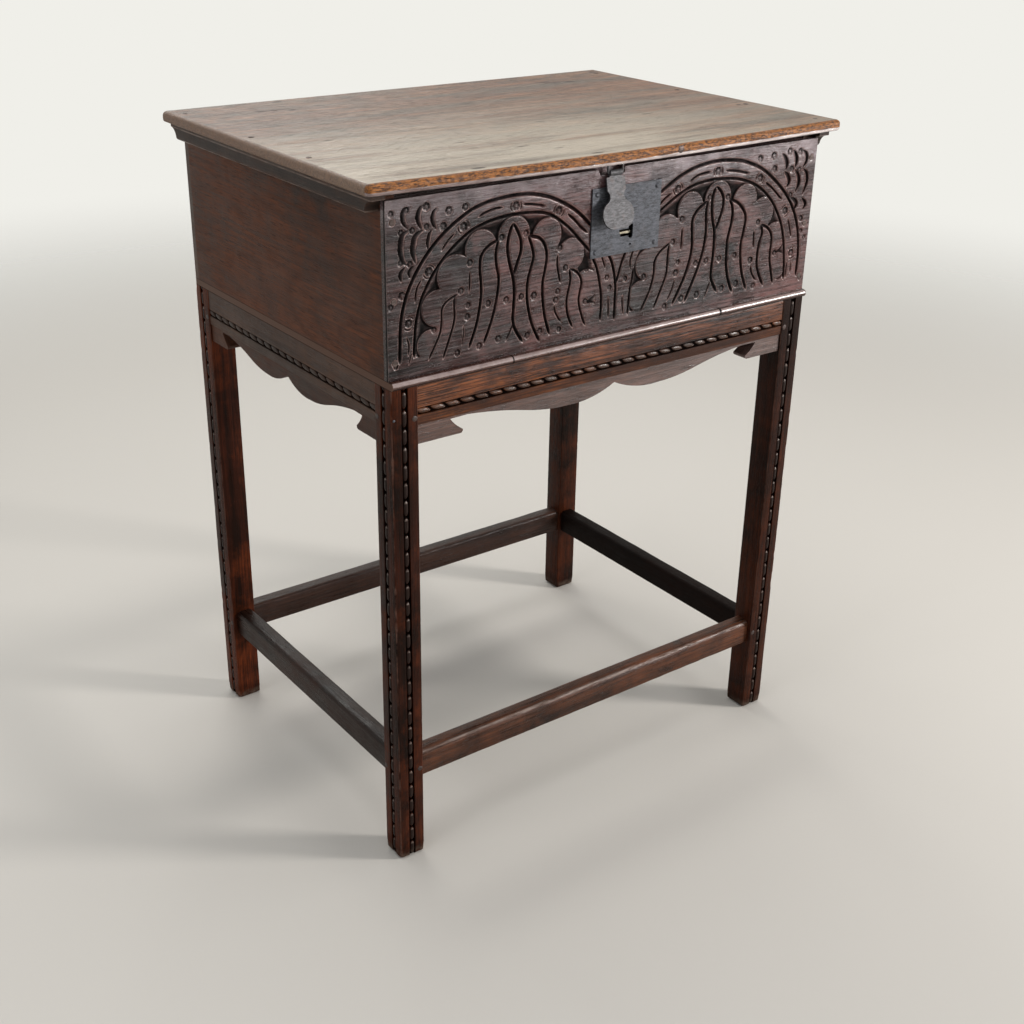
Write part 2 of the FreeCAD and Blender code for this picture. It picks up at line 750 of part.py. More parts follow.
# Box
front_nails, back_nails, bottom_nails = corner_nails(-1), corner_nails(1), floor_nails()
metal_nails = plate_nails()
hinge_places = {"left": -hinge_place_share * box_width, "right": hinge_place_share * box_width}
box_eyes = {side: box_hinge_eye(x) for side, x in hinge_places.items()}
lid_eyes = {side: lid_hinge_eye(x) for side, x in hinge_places.items()}
wall_nails = front_nails + back_nails + bottom_nails

parts["front_board"] = cut(lapped_board(-1, front_thickness), lock_mortise(), knuckle_notch(),
                           *wall_nails, *metal_nails)
parts["back_board"] = cut(lapped_board(1, back_thickness), *wall_nails, *box_eyes.values())
parts["end_board_left"] = cut(end_board(-1), *wall_nails)
parts["end_board_right"] = cut(end_board(1), *wall_nails)
joints = [share * box_width for share in floor_joint_shares]
edges = [-half_width] + joints + [half_width]
for name, left, right in zip(("left", "middle", "right"), edges, edges[1:]):
    parts["floor_board_" + name] = cut(floor_board(left, right), *bottom_nails)
parts["front_nails"] = Part.makeCompound(front_nails)
parts["back_nails"] = Part.makeCompound(back_nails)
parts["floor_nails"] = Part.makeCompound(bottom_nails)
for side, eye in box_eyes.items():
    parts["box_hinge_eye_" + side] = eye

# Lid
lid_nails = cleat_nails()
staple = lid_staple()
parts["lid_board"] = cut(lid_blank(), staple, *lid_nails, *lid_eyes.values())
parts["lid_cleat_left"] = cut(cleat(-1), *lid_nails)
parts["lid_cleat_right"] = cut(cleat(1), *lid_nails)
parts["lid_nails"] = Part.makeCompound(lid_nails)
for side, eye in lid_eyes.items():
    parts["lid_hinge_eye_" + side] = eye
parts["lid_staple"] = staple

# Lock and hasp
parts["lock_plate"] = cut(lock_plate(), *metal_nails)
parts["lock_plate_nails"] = Part.makeCompound(metal_nails)
parts["lock_cover"] = lock_cover()
parts["lock_bolt"] = lock_bolt()
parts["bolt_guide_left"] = bolt_guide(guide_first_x)
parts["bolt_guide_right"] = bolt_guide(guide_second_x)
parts["bolt_spring"] = bolt_spring()
parts["key_pin"] = key_pin()
parts["lock_ward"] = lock_ward()
parts["hasp"] = lean_out(hasp())
parts["hasp_loop"] = lean_out(hasp_loop())

# Stand
rails = {"front": long_rail(-1), "back": long_rail(1), "left": side_rail(-1), "right": side_rail(1)}
stretchers = {"front": stretcher(0, -1), "back": stretcher(0, 1),
              "left": stretcher(-1, 0), "right": stretcher(1, 0)}
for side_y, depth_name in ((-1, "front"), (1, "back")):
    for side_x, width_name in ((-1, "left"), (1, "right")):
        joined = [pieces[name] for pieces in (rails, stretchers) for name in (depth_name, width_name)]
        parts["leg_" + depth_name + "_" + width_name] = leg(side_x, side_y, joined)

apron_back = apron_setback + rail_setback
front_middle = -(stand_half_depth - apron_back - apron_thickness / 2)
side_middle = half_width - apron_back - apron_thickness / 2
nails_by_apron = {
    "front": apron_nails(leg_inner_x, lambda shift: lobe_foot(shift, front_middle, True)),
    "left": apron_nails(leg_inner_y, lambda shift: lobe_foot(shift, -side_middle, False)),
    "right": apron_nails(leg_inner_y, lambda shift: lobe_foot(shift, side_middle, False))}
apron_boards = {
    "front": apron(leg_inner_x, in_xz(front_middle - apron_thickness / 2), V(0, apron_thickness, 0)),
    "left": apron(leg_inner_y, in_yz(-side_middle - apron_thickness / 2), V(apron_thickness, 0, 0)),
    "right": apron(leg_inner_y, in_yz(side_middle - apron_thickness / 2), V(apron_thickness, 0, 0))}
for name, board in apron_boards.items():
    rails[name] = cut(rails[name], *nails_by_apron[name])
    parts["apron_" + name] = cut(board, *nails_by_apron[name])
for name, rail in rails.items():
    parts["rail_" + name] = rail
for name, bar in stretchers.items():
    parts["stretcher_" + name] = bar
parts["apron_nails"] = Part.makeCompound([one for nails in nails_by_apron.values() for one in nails])
parts["rail_pegs"] = Part.makeCompound([rail_peg(x, y, way) for x in (-1, 1) for y in (-1, 1)
                                        for way in (True, False)])
parts["stretcher_pegs"] = Part.makeCompound([stretcher_peg(x, y, way) for x in (-1, 1)
                                             for y in (-1, 1) for way in (True, False)])

os.makedirs("parts", exist_ok=True)
for name, shape in parts.items():
    shape.exportStep("parts/" + name + ".step")
print(len(parts), "nodes,", sum(len(shape.Solids) for shape in parts.values()), "solids")
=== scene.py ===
import math
from functools import reduce

import bmesh
import bpy
import numpy as np
from mathutils import Matrix, Vector, noise


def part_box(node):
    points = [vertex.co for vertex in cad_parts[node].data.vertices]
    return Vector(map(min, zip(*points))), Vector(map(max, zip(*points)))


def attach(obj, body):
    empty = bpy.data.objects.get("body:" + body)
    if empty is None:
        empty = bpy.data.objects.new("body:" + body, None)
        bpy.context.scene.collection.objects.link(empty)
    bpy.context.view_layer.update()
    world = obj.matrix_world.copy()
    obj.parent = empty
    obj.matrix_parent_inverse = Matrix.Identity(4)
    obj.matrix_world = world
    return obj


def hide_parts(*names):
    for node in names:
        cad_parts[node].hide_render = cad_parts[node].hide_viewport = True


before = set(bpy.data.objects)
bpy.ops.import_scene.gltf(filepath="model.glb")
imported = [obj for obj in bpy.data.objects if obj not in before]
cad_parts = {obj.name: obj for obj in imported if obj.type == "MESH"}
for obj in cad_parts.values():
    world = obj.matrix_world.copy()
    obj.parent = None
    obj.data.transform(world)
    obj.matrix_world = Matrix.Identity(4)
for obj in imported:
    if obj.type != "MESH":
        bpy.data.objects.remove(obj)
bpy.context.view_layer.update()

# The carving is given in millimetres of x and z on the front board's face.
# A groove is its width, and x and z of the points that it passes; a scale is its reach and its
# curved cut.
# A punch is a struck flower: x, z and radius. A lobe is a round left standing beside the arch.
GROOVES_LEFT = [
    (5, -324.5, 703, -323.8, 723, -322.5, 748, -318.8, 768, -312.5, 785.5, -303.8, 801.8, -292.5,
     818, -278.8, 833, -262.5, 846.8, -245, 858, -225, 868, -205, 873.5, -182.5, 876.2, -160, 877,
     -137.5, 875, -115, 869.2, -95, 860.5, -77.5, 850.5, -62.5, 839.2, -47.5, 824.8),
    (4.6, -305, 706.8, -304.2, 723, -302.5, 743, -298.8, 760.5, -292.5, 778, -283.8, 793, -272.5,
     808, -258.8, 821.8, -242.5, 834.2, -225, 844.2, -205, 850.5, -185, 853.8, -165, 854.8, -145,
     854.2, -125, 851.8, -107.5, 845.5, -92.5, 835.5, -80, 825.5, -67.5, 813, -57.5, 803, -48.8,
     794.2),
    (3.6, -216.2, 858.5, -205, 862.5, -192.5, 865, -180.5, 865),
    (3.6, -153.8, 865, -140, 863.5, -118.8, 858.8),
    (4, -86.2, 845.5, -75, 836.8, -65, 826.8, -53, 817.5),
    (3.2, -248, 845, -257.5, 836.8, -267, 826),
    (3.2, -293.2, 798.5, -300, 788, -303, 771.8),
    (2.8, -315.5, 734.2, -311.8, 723, -313, 710.5),
    (2.4, -307, 715.5, -310, 708, -312.5, 699.2),
    (5, -166.2, 845, -171.2, 833, -173.8, 820.5, -173, 808, -170, 795.5, -166.2, 783, -163.8,
     771.8, -163, 758, -163.8, 743, -164.5, 728, -161.2, 715.5, -149.2, 696.8),
    (5, -166.2, 845, -158.8, 833, -154.5, 821.8, -154.5, 809.2, -158.8, 798, -164.5, 781.8),
    (3, -164.5, 724.2, -168.8, 713, -175.5, 702.5),
    (4.4, -187, 828.5, -190.5, 813, -189.5, 798, -186.2, 783, -187.5, 765.5, -191.2, 748, -197.5,
     728, -207.5, 705),
    (4.4, -187, 828, -201.2, 823, -211.2, 813, -213.2, 798, -211.8, 783, -211.2, 768, -213.8, 748,
     -218.8, 728, -228.8, 703.5),
    (4.6, -144.2, 827.5, -138, 813, -135.5, 800.5, -138.8, 788, -143, 773, -144.2, 755.5, -141.2,
     735.5, -135, 715.5, -123.2, 692.5),
    (4.6, -144.2, 827, -127.5, 821.8, -118.8, 811.8, -115.5, 798, -117.5, 783, -120.8, 765.5,
     -120, 745.5, -116.2, 723, -108.2, 698.5),
    (3.4, -243, 773, -258.8, 766.8, -266.2, 758, -267, 743, -270, 728, -285.5, 700),
    (3.6, -249, 771, -249.2, 758, -248.8, 745.5, -252.5, 730.5, -265.5, 697.5),
    (4, -80.5, 777.5, -78, 763, -81.2, 748, -83, 735.5, -80, 718, -72, 701),
    (4, -80.5, 777.5, -67.5, 770.5, -60.5, 758, -63, 743, -63.8, 733, -58.8, 715.5, -52, 700),
    (3, -228, 796.8, -227.5, 783, -228.8, 771),
    (3.6, -99, 798, -98.8, 783, -93.5, 761),
    (2.4, -237, 734.2, -236.2, 723, -239, 708.5),
    (3.4, -102.5, 736, -100, 725.5, -90.8, 711.2),
    (4.2, -47, 793, -43, 783, -38, 774, -34, 762, -31, 750, -28.5, 738, -27.5, 722, -28, 702),
    (3.2, -31, 788, -29, 783, -26, 776, -23, 768),
    (4.4, -23, 793, -18, 784, -13, 775, -9, 763, -6.5, 752, -5, 740, -5, 722, -5, 699),
    (3, -17, 732, -15.5, 720, -15, 704),
]
GROOVES_RIGHT = [
    (5.2, 58.8, 851, 82.5, 864.2, 100, 871.8, 120, 877.5, 140, 880.5, 160, 881.2, 180, 879.8, 200,
     876.8, 220, 870.5, 237.5, 863, 255, 851.8, 272.5, 838, 287.5, 824.2, 300, 809.2, 310, 793,
     317.5, 775.5, 322.5, 755.5, 325, 733, 324.5, 704.2),
    (4.6, 58.8, 826.8, 80, 839.2, 95, 846.8, 112.5, 853.5, 130, 856.8, 150, 858, 170, 857.2, 190,
     855, 210, 850, 230, 841.8, 247.5, 830.5, 262.5, 816.8, 275, 800.5, 285, 783, 292, 763, 296.2,
     743, 298.8, 723, 300, 703),
    (3.8, 58.8, 835.5, 72.5, 845.5, 82, 849.2),
    (3.8, 110, 859.8, 125, 866.8, 147.5, 868.8),
    (3.8, 172, 867.2, 190, 865, 216.2, 858.8),
    (3.8, 247, 843.8, 262.5, 833, 282, 816),
    (3.4, 297, 789.2, 302.5, 775.5, 306.8, 761.8),
    (2.8, 303.8, 729.2, 303.8, 705),
    (2.6, 311.2, 728, 312.5, 709.2),
    (5.2, 158, 849, 153, 835.5, 153, 820.5, 155.5, 805.5, 160, 790.5, 161.2, 775.5, 161.2, 758,
     160, 740.5, 161.2, 725.5, 173, 706),
    (5, 158, 849, 167.5, 840.5, 172.5, 830.5, 172, 818, 168, 805.5, 162, 791),
    (3, 159.5, 724.8, 155, 713, 149.5, 701),
    (5, 145.8, 832.5, 143.2, 820.5, 144.2, 803, 145, 788, 142.5, 768, 136.2, 748, 127.5, 728,
     114.5, 702.2),
    (5, 145.8, 832, 128.8, 823, 120.5, 811.8, 120, 798, 122, 778, 120, 760.5, 113.8, 740.5, 105,
     723, 93, 702.2),
    (5.2, 182.5, 830, 188.8, 820.5, 191.2, 808, 189.5, 793, 185.5, 775.5, 185.5, 758, 187.5, 738,
     192.5, 720.5, 201.8, 701),
    (5, 182.5, 830, 200, 821.8, 212.5, 809.2, 216.2, 798, 213.8, 780.5, 211.2, 765.5, 212.5, 748,
     217.5, 725.5, 228, 701),
    (4, 84.5, 786, 67.5, 776.8, 58.8, 765.5, 58, 748, 52.5, 728, 38.2, 702.2),
    (4, 81.5, 785, 80.5, 768, 80, 748, 75, 733, 60.8, 702.2),
    (4.8, 245.8, 787.5, 250, 775.5, 246.2, 763, 244.5, 748, 246.2, 728, 260.5, 701),
    (4.6, 245.8, 787.5, 260, 780.5, 268.8, 768, 268.8, 748, 270, 733, 279.2, 701),
    (3.6, 102.5, 802.5, 103, 788, 102.5, 773.5),
    (3.6, 233.8, 781.8, 234.5, 770.5, 235.5, 756.8),
    (3, 95, 736, 91.2, 723, 83.2, 708.5),
    (3.8, 232.5, 733.5, 237.5, 720.5, 246.8, 709.8),
    (3.2, 22, 789, 21, 784, 17.5, 774, 18, 761),
    (4, 23, 762, 22, 748, 19, 735, 18, 720, 17, 702),
    (4.2, 13, 793, 8.5, 784, 5, 777, 1, 766, -3, 752, -4.5, 746),
    (3, 6.5, 730, 7.5, 718, 9.5, 704),
]
SCALES_LEFT = [
    (6.5, -306.5, 881.6, -314.7, 881.4, -318.6, 878.2, -320, 871.6, -318, 864.5, -311.5, 857.4),
    (6.5, -289.8, 881.4, -295.2, 879.6, -299, 874.4, -300.2, 867.7, -298, 861.2, -293, 854.3),
    (6, -272, 876, -277.4, 873.5, -280.2, 867.6, -280.2, 862.6, -278, 857.2, -273.7, 852.6),
    (7.5, -309.3, 855.9, -317, 854.4, -321.6, 849.4, -324, 838.5, -323.5, 830.8, -319.6, 821.4,
     -313, 816.5),
    (7.5, -290.9, 854, -298.3, 852.5, -304.3, 848.3, -307, 839.8, -307.9, 832.3, -305.5, 824.3,
     -301.6, 817.4),
    (5, -279.7, 852.4, -283.5, 849.2, -285.8, 843.1, -286.4, 836.8, -284.5, 830.8),
    (5, -316, 815, -321.5, 811.5, -323.5, 806, -321, 799.5),
    (4.5, -304.5, 815, -309.5, 812, -311.5, 807.5, -309.5, 802.5),
]
SCALES_RIGHT = [
    (8, 274.9, 878.1, 282.6, 873.7, 287.2, 865.8, 286.7, 859.5, 283.2, 856.2),
    (7.5, 295.6, 880.4, 302, 876.2, 305.5, 868.5, 304.9, 862.1, 301.5, 856.5),
    (6.5, 313.1, 878.8, 321.7, 875, 324.9, 867.3, 322.6, 860.1, 317, 855.4),
    (8, 282.3, 853.6, 289.6, 850, 294.4, 843, 293.5, 836.5, 289, 831.5),
    (7.5, 302.1, 854.1, 309.9, 847.7, 313.9, 838.9, 312.3, 830.6, 306.5, 823.6),
    (6.5, 316.8, 854.3, 325.8, 848.7, 329.3, 838.9, 327.5, 828.8, 321.5, 818.5),
    (7.5, 298.1, 817.4, 308, 814.3, 313, 808, 311.1, 802.6, 305.5, 798.6),
    (6, 321.5, 813.8, 329.2, 808.2, 330.2, 802.1, 324.8, 797.8),
]
PUNCHES_LEFT = [
    (-162.5, 864.2, 5), (-236.2, 850, 5), (-99.2, 850.5, 5), (-283.8, 805, 5),
    (-311.8, 749.2, 4.5), (-182.5, 830, 4), (-147.5, 830, 4), (-240, 775.5, 4),
    (-86.2, 779.2, 4), (-227.5, 806.8, 4), (-96.2, 805.5, 4), (-231.2, 743, 4), (-100, 741.2, 4),
    (-97.5, 751.8, 3.5), (-230, 756.8, 3.5), (-201.2, 754.2, 4), (-175, 754.2, 4),
    (-152.5, 754.2, 4), (-133.8, 752.5, 4.5), (-245, 701.5, 4), (-213.8, 704.2, 4),
    (-186.2, 708, 4), (-142.5, 704.2, 4), (-123.8, 706, 4), (-93.8, 703, 3.5), (-53.8, 773, 3.5),
    (-53.8, 731.8, 3.5), (-20, 756.8, 3.5), (-15, 743, 3.5), (-332.5, 876.8, 3.5),
    (-256.2, 871, 4.5), (-233.8, 872.2, 4), (-286.2, 879.2, 4.5), (-263.8, 854.2, 4.5),
    (-286.2, 856.8, 3.5), (-305, 855, 3.5), (-320, 854.2, 3.5), (-312.5, 878.5, 3.5),
    (-321.2, 820.5, 3.5), (-308.8, 817.5, 3.5), (-320, 783, 4.5), (-335, 771.8, 3.5),
    (-330, 700.5, 3), (-277.5, 735.5, 3.5),
]
PUNCHES_RIGHT = [
    (91.2, 853, 5), (158.8, 868, 5), (237, 850, 5), (290, 800, 5), (310, 739.2, 5),
    (147.5, 835.5, 4), (180, 832.2, 4), (87.5, 786.2, 4), (240, 791, 4), (101.2, 813.5, 4),
    (96.2, 744.2, 4.5), (98.8, 758, 3.5), (231.2, 741, 4.5), (130.5, 751.8, 4),
    (149.2, 752.5, 4), (172.5, 751.8, 4), (200.8, 751.8, 4), (80, 702.2, 4), (108.8, 708, 4.5),
    (136.2, 708.8, 4.5), (181.2, 709.8, 4.5), (207.5, 712.2, 4.5), (241.2, 704.2, 4),
    (277.5, 744.2, 4), (41.2, 748, 4), (10, 750.5, 3.5), (233.8, 875.5, 4.5),
    (258.8, 876.8, 4.5), (288.8, 879.2, 4.5), (308.8, 876.8, 4.5), (262.5, 859.2, 4.5),
    (295, 855.5, 4), (310, 853, 3.5), (297.5, 820.5, 3.5), (322.5, 785.5, 4), (325, 768, 3),
    (332.5, 758, 3), (332.5, 700.5, 3),
]
LOBES_LEFT = [
    (-164.5, 830, 22.5), (-211.8, 821.5, 21.7), (-115.8, 822.8, 21.2), (-248, 795.5, 24),
    (-78.8, 794.2, 20.5), (-272.5, 760.5, 21.5), (-53.8, 752.5, 19.5), (-282.5, 718.8, 18),
    (-47.5, 711.2, 17),
]
LOBES_RIGHT = [
    (162.5, 832.5, 22.5), (115, 825.5, 21.3), (212, 824, 21.3), (76.2, 801.2, 21.8),
    (246.2, 802.8, 20.8), (47.5, 763.8, 20.5), (273.8, 766.2, 20.5), (37.5, 723.8, 20),
    (282.5, 725, 18.5),
]

MM = 0.001
FRONT_Y = -256.0                        # the face of the front board
BOARD = (-340.0, 340.0, 684.0, 892.0)   # x and z of the front board, its mortise and its notch
MORTISE = (-42.0, 52.0, 793.0, 862.0)
NOTCH = (-37.5, 0.5, 885.0, 892.0)
NOTCH_LEAN = 4.0                        # how far the notch's left end slopes
LAP, THICK, INNER_END = 10.0, 20.0, 322.0
# a side's first punches lie in its arch's band, which slopes by so many degrees there
BAND_SLOPES = (-2, 30, -30, 55, 75), (27, 0, -30, -58, -82)
NAIL_PLACES = [(side * 331.0, z) for side in (-1, 1) for z in (704.8, 777.6, 867.04)]

LEG, LEG_X, LEG_Y = 37.0, 340.0, 259.5  # a leg's width and the places of the outer faces
INNER_X, INNER_Y = LEG_X - LEG, LEG_Y - LEG
STAND_TOP, RAIL_LOW, RAIL_THICK = 674.0, 624.0, 26.0
RAIL_X, RAIL_Y = 338.5, 258.0           # the rails' outer faces
BEAD_Z, CHANNEL, SUNK = 641.0, 4.75, 2.5    # a rail's channel; its half width and its depth
TREAD_Y, TREAD_Z = -252.0, 157.0        # the front stretcher's face and top
PEG_X, PEG_Y = 308.0, 227.5             # how far the pegs are from the middle
LEG_STEP, RAIL_STEP, BAR_STEP, LID_STEP = 1.55, 1.3, 6.0, 4.0   # between rings or lines
FLOOR_JOINTS = -168.0, 176.1
PEG_PROFILE = ((-9.0, 1.0), (0.15, 1.0), (0.45, 0.86), (0.6, 0.45))     # depth and share
NAIL_PROFILE = ((-3.0, 0.5), (-0.5, 0.98), (0.15, 1.0), (0.55, 0.78), (0.85, 0.35))
PEARL_ACROSS = (-3.5, -3.0, -2.2, -1.1, 0.0, 1.1, 2.2, 3.0, 3.5)
SIDE_PEARLS, FACE_PEARLS = (21.35, 636.1), (23.06, 636.0)   # a leg's pitch and one middle

LID = (-367.0, 374.0, -266.0, 258.0)
LID_TOP, LID_UNDER = 914.0, 900.0
CLENCH_X, CLENCH_Y = 240.04, 186.15     # the hinges' bent-over ends on the lid
ROLL = (0.0, 0.25, 0.9, 1.9, 3.2, 4.8, 6.5, 8.0)
# old nail holes, splits and bruises in its top: x, y, half length, half width and turn
LID_MARKS = [(-205, 244, 8, 3.4, 8), (-217, 178, 6, 4.0, 20), (-258, 192, 8, 3.2, -12),
             (-96, -176, 12, 1.8, 4), (-62, -205, 8, 1.6, -3), (-150, -120, 10, 1.6, 5),
             (-212, -250, 11, 3.6, 4), (-38, -250, 10, 2.6, 0), (337, -106, 4, 3.4, 0),
             (348, -240, 3.2, 3.2, 0), (352, 238, 6, 5.0, 0), (222, 196, 11, 3.4, -14),
             (240, 186, 9, 3.0, 24), (262, 180, 7, 3.4, 10), (120, 60, 10, 1.4, 3),
             (60, 130, 9, 1.4, -6), (180, -90, 11, 1.6, 4), (20, -60, 9, 1.4, -4),
             (-280, -30, 9, 1.6, 5)]
SIDES = ((-1, "left"), (1, "right"))


# Materials

class Nodes:
    """A node tree that is emptied and built up again."""

    def __init__(self, tree):
        self.tree = tree
        tree.nodes.clear()

    def node(self, kind, inputs=None, **settings):
        node = self.tree.nodes.new(kind)
        for key, value in settings.items():
            setattr(node, key, value)
        for key, value in (inputs or {}).items():
            self.put(node.inputs[key], value)
        return node

    def put(self, socket, value):
        value = getattr(value, "socket", value)
        if isinstance(value, bpy.types.NodeSocket):
            self.tree.links.new(value, socket)
        else:
            socket.default_value = value


class Value:
    """A number that nodes work out, so that a sum of them is written as a sum."""

    def __init__(self, nodes, socket):
        self.nodes, self.socket = nodes, socket

    def math(self, operation, other=0.0):
        node = self.nodes.node("ShaderNodeMath", {0: self, 1: other}, operation=operation)
        return Value(self.nodes, node.outputs[0])

    def __add__(self, other):
        return self.math("ADD", other)

    def __sub__(self, other):
        return self.math("SUBTRACT", other)

    def __rsub__(self, other):
        return self * -1 + other

    def __mul__(self, other):
        return self.math("MULTIPLY", other)

    def __abs__(self):
        return self.math("ABSOLUTE")

    def most(self, other):
        return self.math("MAXIMUM", other)

    def least(self, other):
        return self.math("MINIMUM", other)

    def span(self, low, high, to_low=0.0, to_high=1.0):
        """to_low at low and to_high at high, even between them and flat beyond."""
        reach = {"Value": self, "From Min": low, "From Max": high,
                 "To Min": to_low, "To Max": to_high}
        return Value(self.nodes, self.nodes.node("ShaderNodeMapRange", reach).outputs[0])

    def band(self, low, low_full, high_full, high):
        """1 in the middle of a band and 0 outside it."""
        return self.span(low, low_full) * self.span(high, high_full)


class Shader(Nodes):
    """A material under construction. x, y and z are the place on the object in millimetres."""

    def __init__(self, name):
        self.material = bpy.data.materials.new(name)
        self.material.use_nodes = True
        super().__init__(self.material.node_tree)
        self.bsdf = self.node("ShaderNodeBsdfPrincipled")
        self.output = self.node("ShaderNodeOutputMaterial", {"Surface": self.bsdf.outputs[0]})
        self.place = self.node("ShaderNodeTexCoord").outputs["Object"]
        axes = self.node("ShaderNodeSeparateXYZ", {0: self.place}).outputs
        self.x, self.y, self.z = (Value(self, axis) * 1000 for axis in axes)

    def noise_node(self, scale, shift=(0, 0, 0), detail=4.0, roughness=0.65, source=None,
                   distortion=0.0):
        """Noise in the object's place, with one scale or three, counted in waves to the metre."""
        scale = scale if isinstance(scale, tuple) else (scale,) * 3
        mapped = self.node("ShaderNodeMapping", {"Vector": source or self.place, "Scale": scale,
                                                 "Location": shift})
        return self.node("ShaderNodeTexNoise",
                         {"Vector": mapped.outputs[0], "Scale": 1.0, "Detail": detail,
                          "Roughness": roughness, "Distortion": distortion})

    def noise(self, *how, **more):
        return Value(self, self.noise_node(*how, **more).outputs[0])

    def patches(self, scale, low, high, shift=(4, 1, 7)):
        """Cloudy patches, low outside them and high inside."""
        return self.noise(scale, shift).span(0.38, 0.6, low, high)

    def mix(self, share, first, second):
        """Two colours mixed; one of three numbers is as a picture shows it."""
        first, second = (srgb(*c) if isinstance(c, tuple) and len(c) == 3 else c
                         for c in (first, second))
        return self.node("ShaderNodeMix", {0: share, 6: first, 7: second},
                         data_type="RGBA").outputs[2]

    def blend(self, share, first, second):
        both = self.node("ShaderNodeMix", {0: share, 2: first, 3: second}, data_type="FLOAT")
        return Value(self, both.outputs[0])

    def length(self, vector):
        return Value(self, self.node("ShaderNodeVectorMath", {0: vector},
                                     operation="LENGTH").outputs[1])

    def bump(self, height, strength, distance, normal=None):
        inputs = {"Height": height, "Strength": strength, "Distance": distance}
        if normal:
            inputs["Normal"] = normal
        return self.node("ShaderNodeBump", inputs).outputs[0]

    def coat(self, inputs):
        """Sets the surface and gives the finished material."""
        for key, value in inputs.items():
            self.put(self.bsdf.inputs[key], value)
        return self.material


def srgb(*colour):
    """A colour as a picture shows it, for a shader."""
    return tuple(c / 255 / 12.92 if c <= 10 else ((c / 255 + 0.055) / 1.055) ** 2.4
                 for c in colour) + (1.0,)


def toned(colour, share, lift=0.0):
    """A shader's colour, made darker by share and then paler by lift."""
    return tuple(share * c + lift for c in colour[:3]) + (1.0,)


def oak(name, along, seed, dark, body, warm, gloss=0.42, warmth=0.5, grime_and_shade=None, wear_and_light=None,
        figure=0.5, grey=0.25, spec=0.5, slate=None, pale=0.0, grain=0.55, lines=0.25,
        relief=1.0, crisp=0.12, dull_grain=1.0):
    """Old waxed oak, grained along one axis.

    grime_and_shade takes the shader and gives a factor for grime and painted shade; wear_and_light
    gives rubbed places, painted highlights and painted shade: factor, colour, roughness and gloss.
    slate is the share and colour of darkened patches and their scale along and across the grain,
    pale the share of light streaks, which are the grain's tone and a painted sheen both, and lines
    of the growth rings. A low crisp makes the streaks harder; dull_grain is the gloss left in the
    pores."""
    s = Shader(name)
    dark, body, warm = (srgb(*tone) for tone in (dark, body, warm))
    shift = (seed * 1.37, seed * 2.11, seed * 0.83)

    def grained(length, across, detail, roughness, shift=shift, **more):
        scale = tuple(length if axis == along else across for axis in "xyz")
        return s.noise(scale, shift, detail, roughness, **more)

    wander = s.noise(2.2, shift, 2.0, 0.5)
    swirl = s.noise_node(3, shift, 2.0, 0.5).outputs["Color"]
    bent = s.node("ShaderNodeVectorMath", {0: swirl, 1: (0.014,) * 3, 2: s.place},
                  operation="MULTIPLY_ADD").outputs[0]
    rings = grained(1.8, 75, 4.0, 0.62, source=bent, distortion=0.4)
    streaks = grained(7, 430, 4.0, 0.65, source=bent)
    pore = grained(48, 1150, 2.0, 0.5, source=bent).span(0.57, 0.66)
    patina = s.noise(6, shift, 5.0, 0.6)
    blotch = s.noise(26, shift)

    tone = rings * figure + patina * (1 - figure)
    colour = s.mix(tone.span(0.5 - crisp, 0.5 + crisp), dark, body)
    tinge = wander * 0.55 + blotch * 0.45
    colour = s.mix(tinge.span(0.46, 0.60, 0.0, warmth), colour, warm)
    if slate:
        share, tint, length, across = slate
        cloud = grained(length, across, 3.0, 0.55, (seed, 1.3, seed))
        colour = s.mix(cloud.span(0.50, 0.62, 0.0, share), colour, tint)
    ring = (grained(0.9, 7.0, 1.5, 0.5) * 30.0).math("PINGPONG", 0.5)
    ring = ring.span(0.22, 0.02) * blotch.span(0.35, 0.6, 0.3, 1.0)
    colour = s.mix(ring * lines, colour, dark)
    colour = s.mix(streaks.span(0.5 - crisp, 0.5 + crisp), s.mix(grain, colour, dark), colour)
    # light streaks along the grain: the grain's tone and a painted sheen
    if pale:
        colour = s.mix(streaks.span(0.54, 0.70, 0.0, pale), colour, toned(body, 0.75, 0.10))
    colour = s.mix(pore * 0.7, colour, toned(dark, 0.3))
    bloom = patina.span(0.52, 0.68) * blotch.span(0.4, 0.65, 0.3, 1.0)
    colour = s.mix(bloom * grey, colour, toned(body, 0.5, 0.045))
    wax = blotch * 0.45 + streaks * 0.55
    rough = wax.span(0.38, 0.62, gloss - 0.10, gloss + 0.14)
    level = spec
    if dull_grain < 1:
        level = wax.span(0.5 - crisp, 0.5 + crisp, spec * dull_grain, spec)
    # rubbed places, painted highlights and painted shade, each with its colour, roughness and gloss
    for share, tint, rubbed, gleam in wear_and_light(s) if wear_and_light else ():
        colour = s.mix(share, colour, tint)
        rough = s.blend(share, rough, rubbed)
        level = s.blend(share, level, gleam)
    # near-black for grime and for painted shade in hollows
    if grime_and_shade:
        share = grime_and_shade(s)
        colour = s.mix(share, colour, toned(dark, 0.12))
        rough += share * 0.35
        level = s.blend(share, level, spec * 0.12)
    fine = s.bump(pore, 0.5 * relief, 0.0005)
    grainy = s.bump(streaks, 0.5 * relief, 0.0008, fine)
    return s.coat({"Base Color": colour, "Roughness": rough, "IOR": 1.5,
                   "Specular IOR Level": level,
                   "Normal": s.bump(patina, 0.4 * relief, 0.005, grainy)})


def leg_oak(name, share=1.0):
    """The legs' oak, with its tones made paler or darker by share, as painted light and shade."""
    tones = [tuple(share * part for part in tone)
             for tone in ((22, 9, 4), (60, 26, 13), (106, 48, 20))]
    return oak(name, "z", 23.0, *tones, gloss=0.36, spec=0.08, warmth=0.6, grey=0.06,
               grime_and_shade=leg_grime_and_shade, wear_and_light=leg_wear_and_highlights, crisp=0.08)


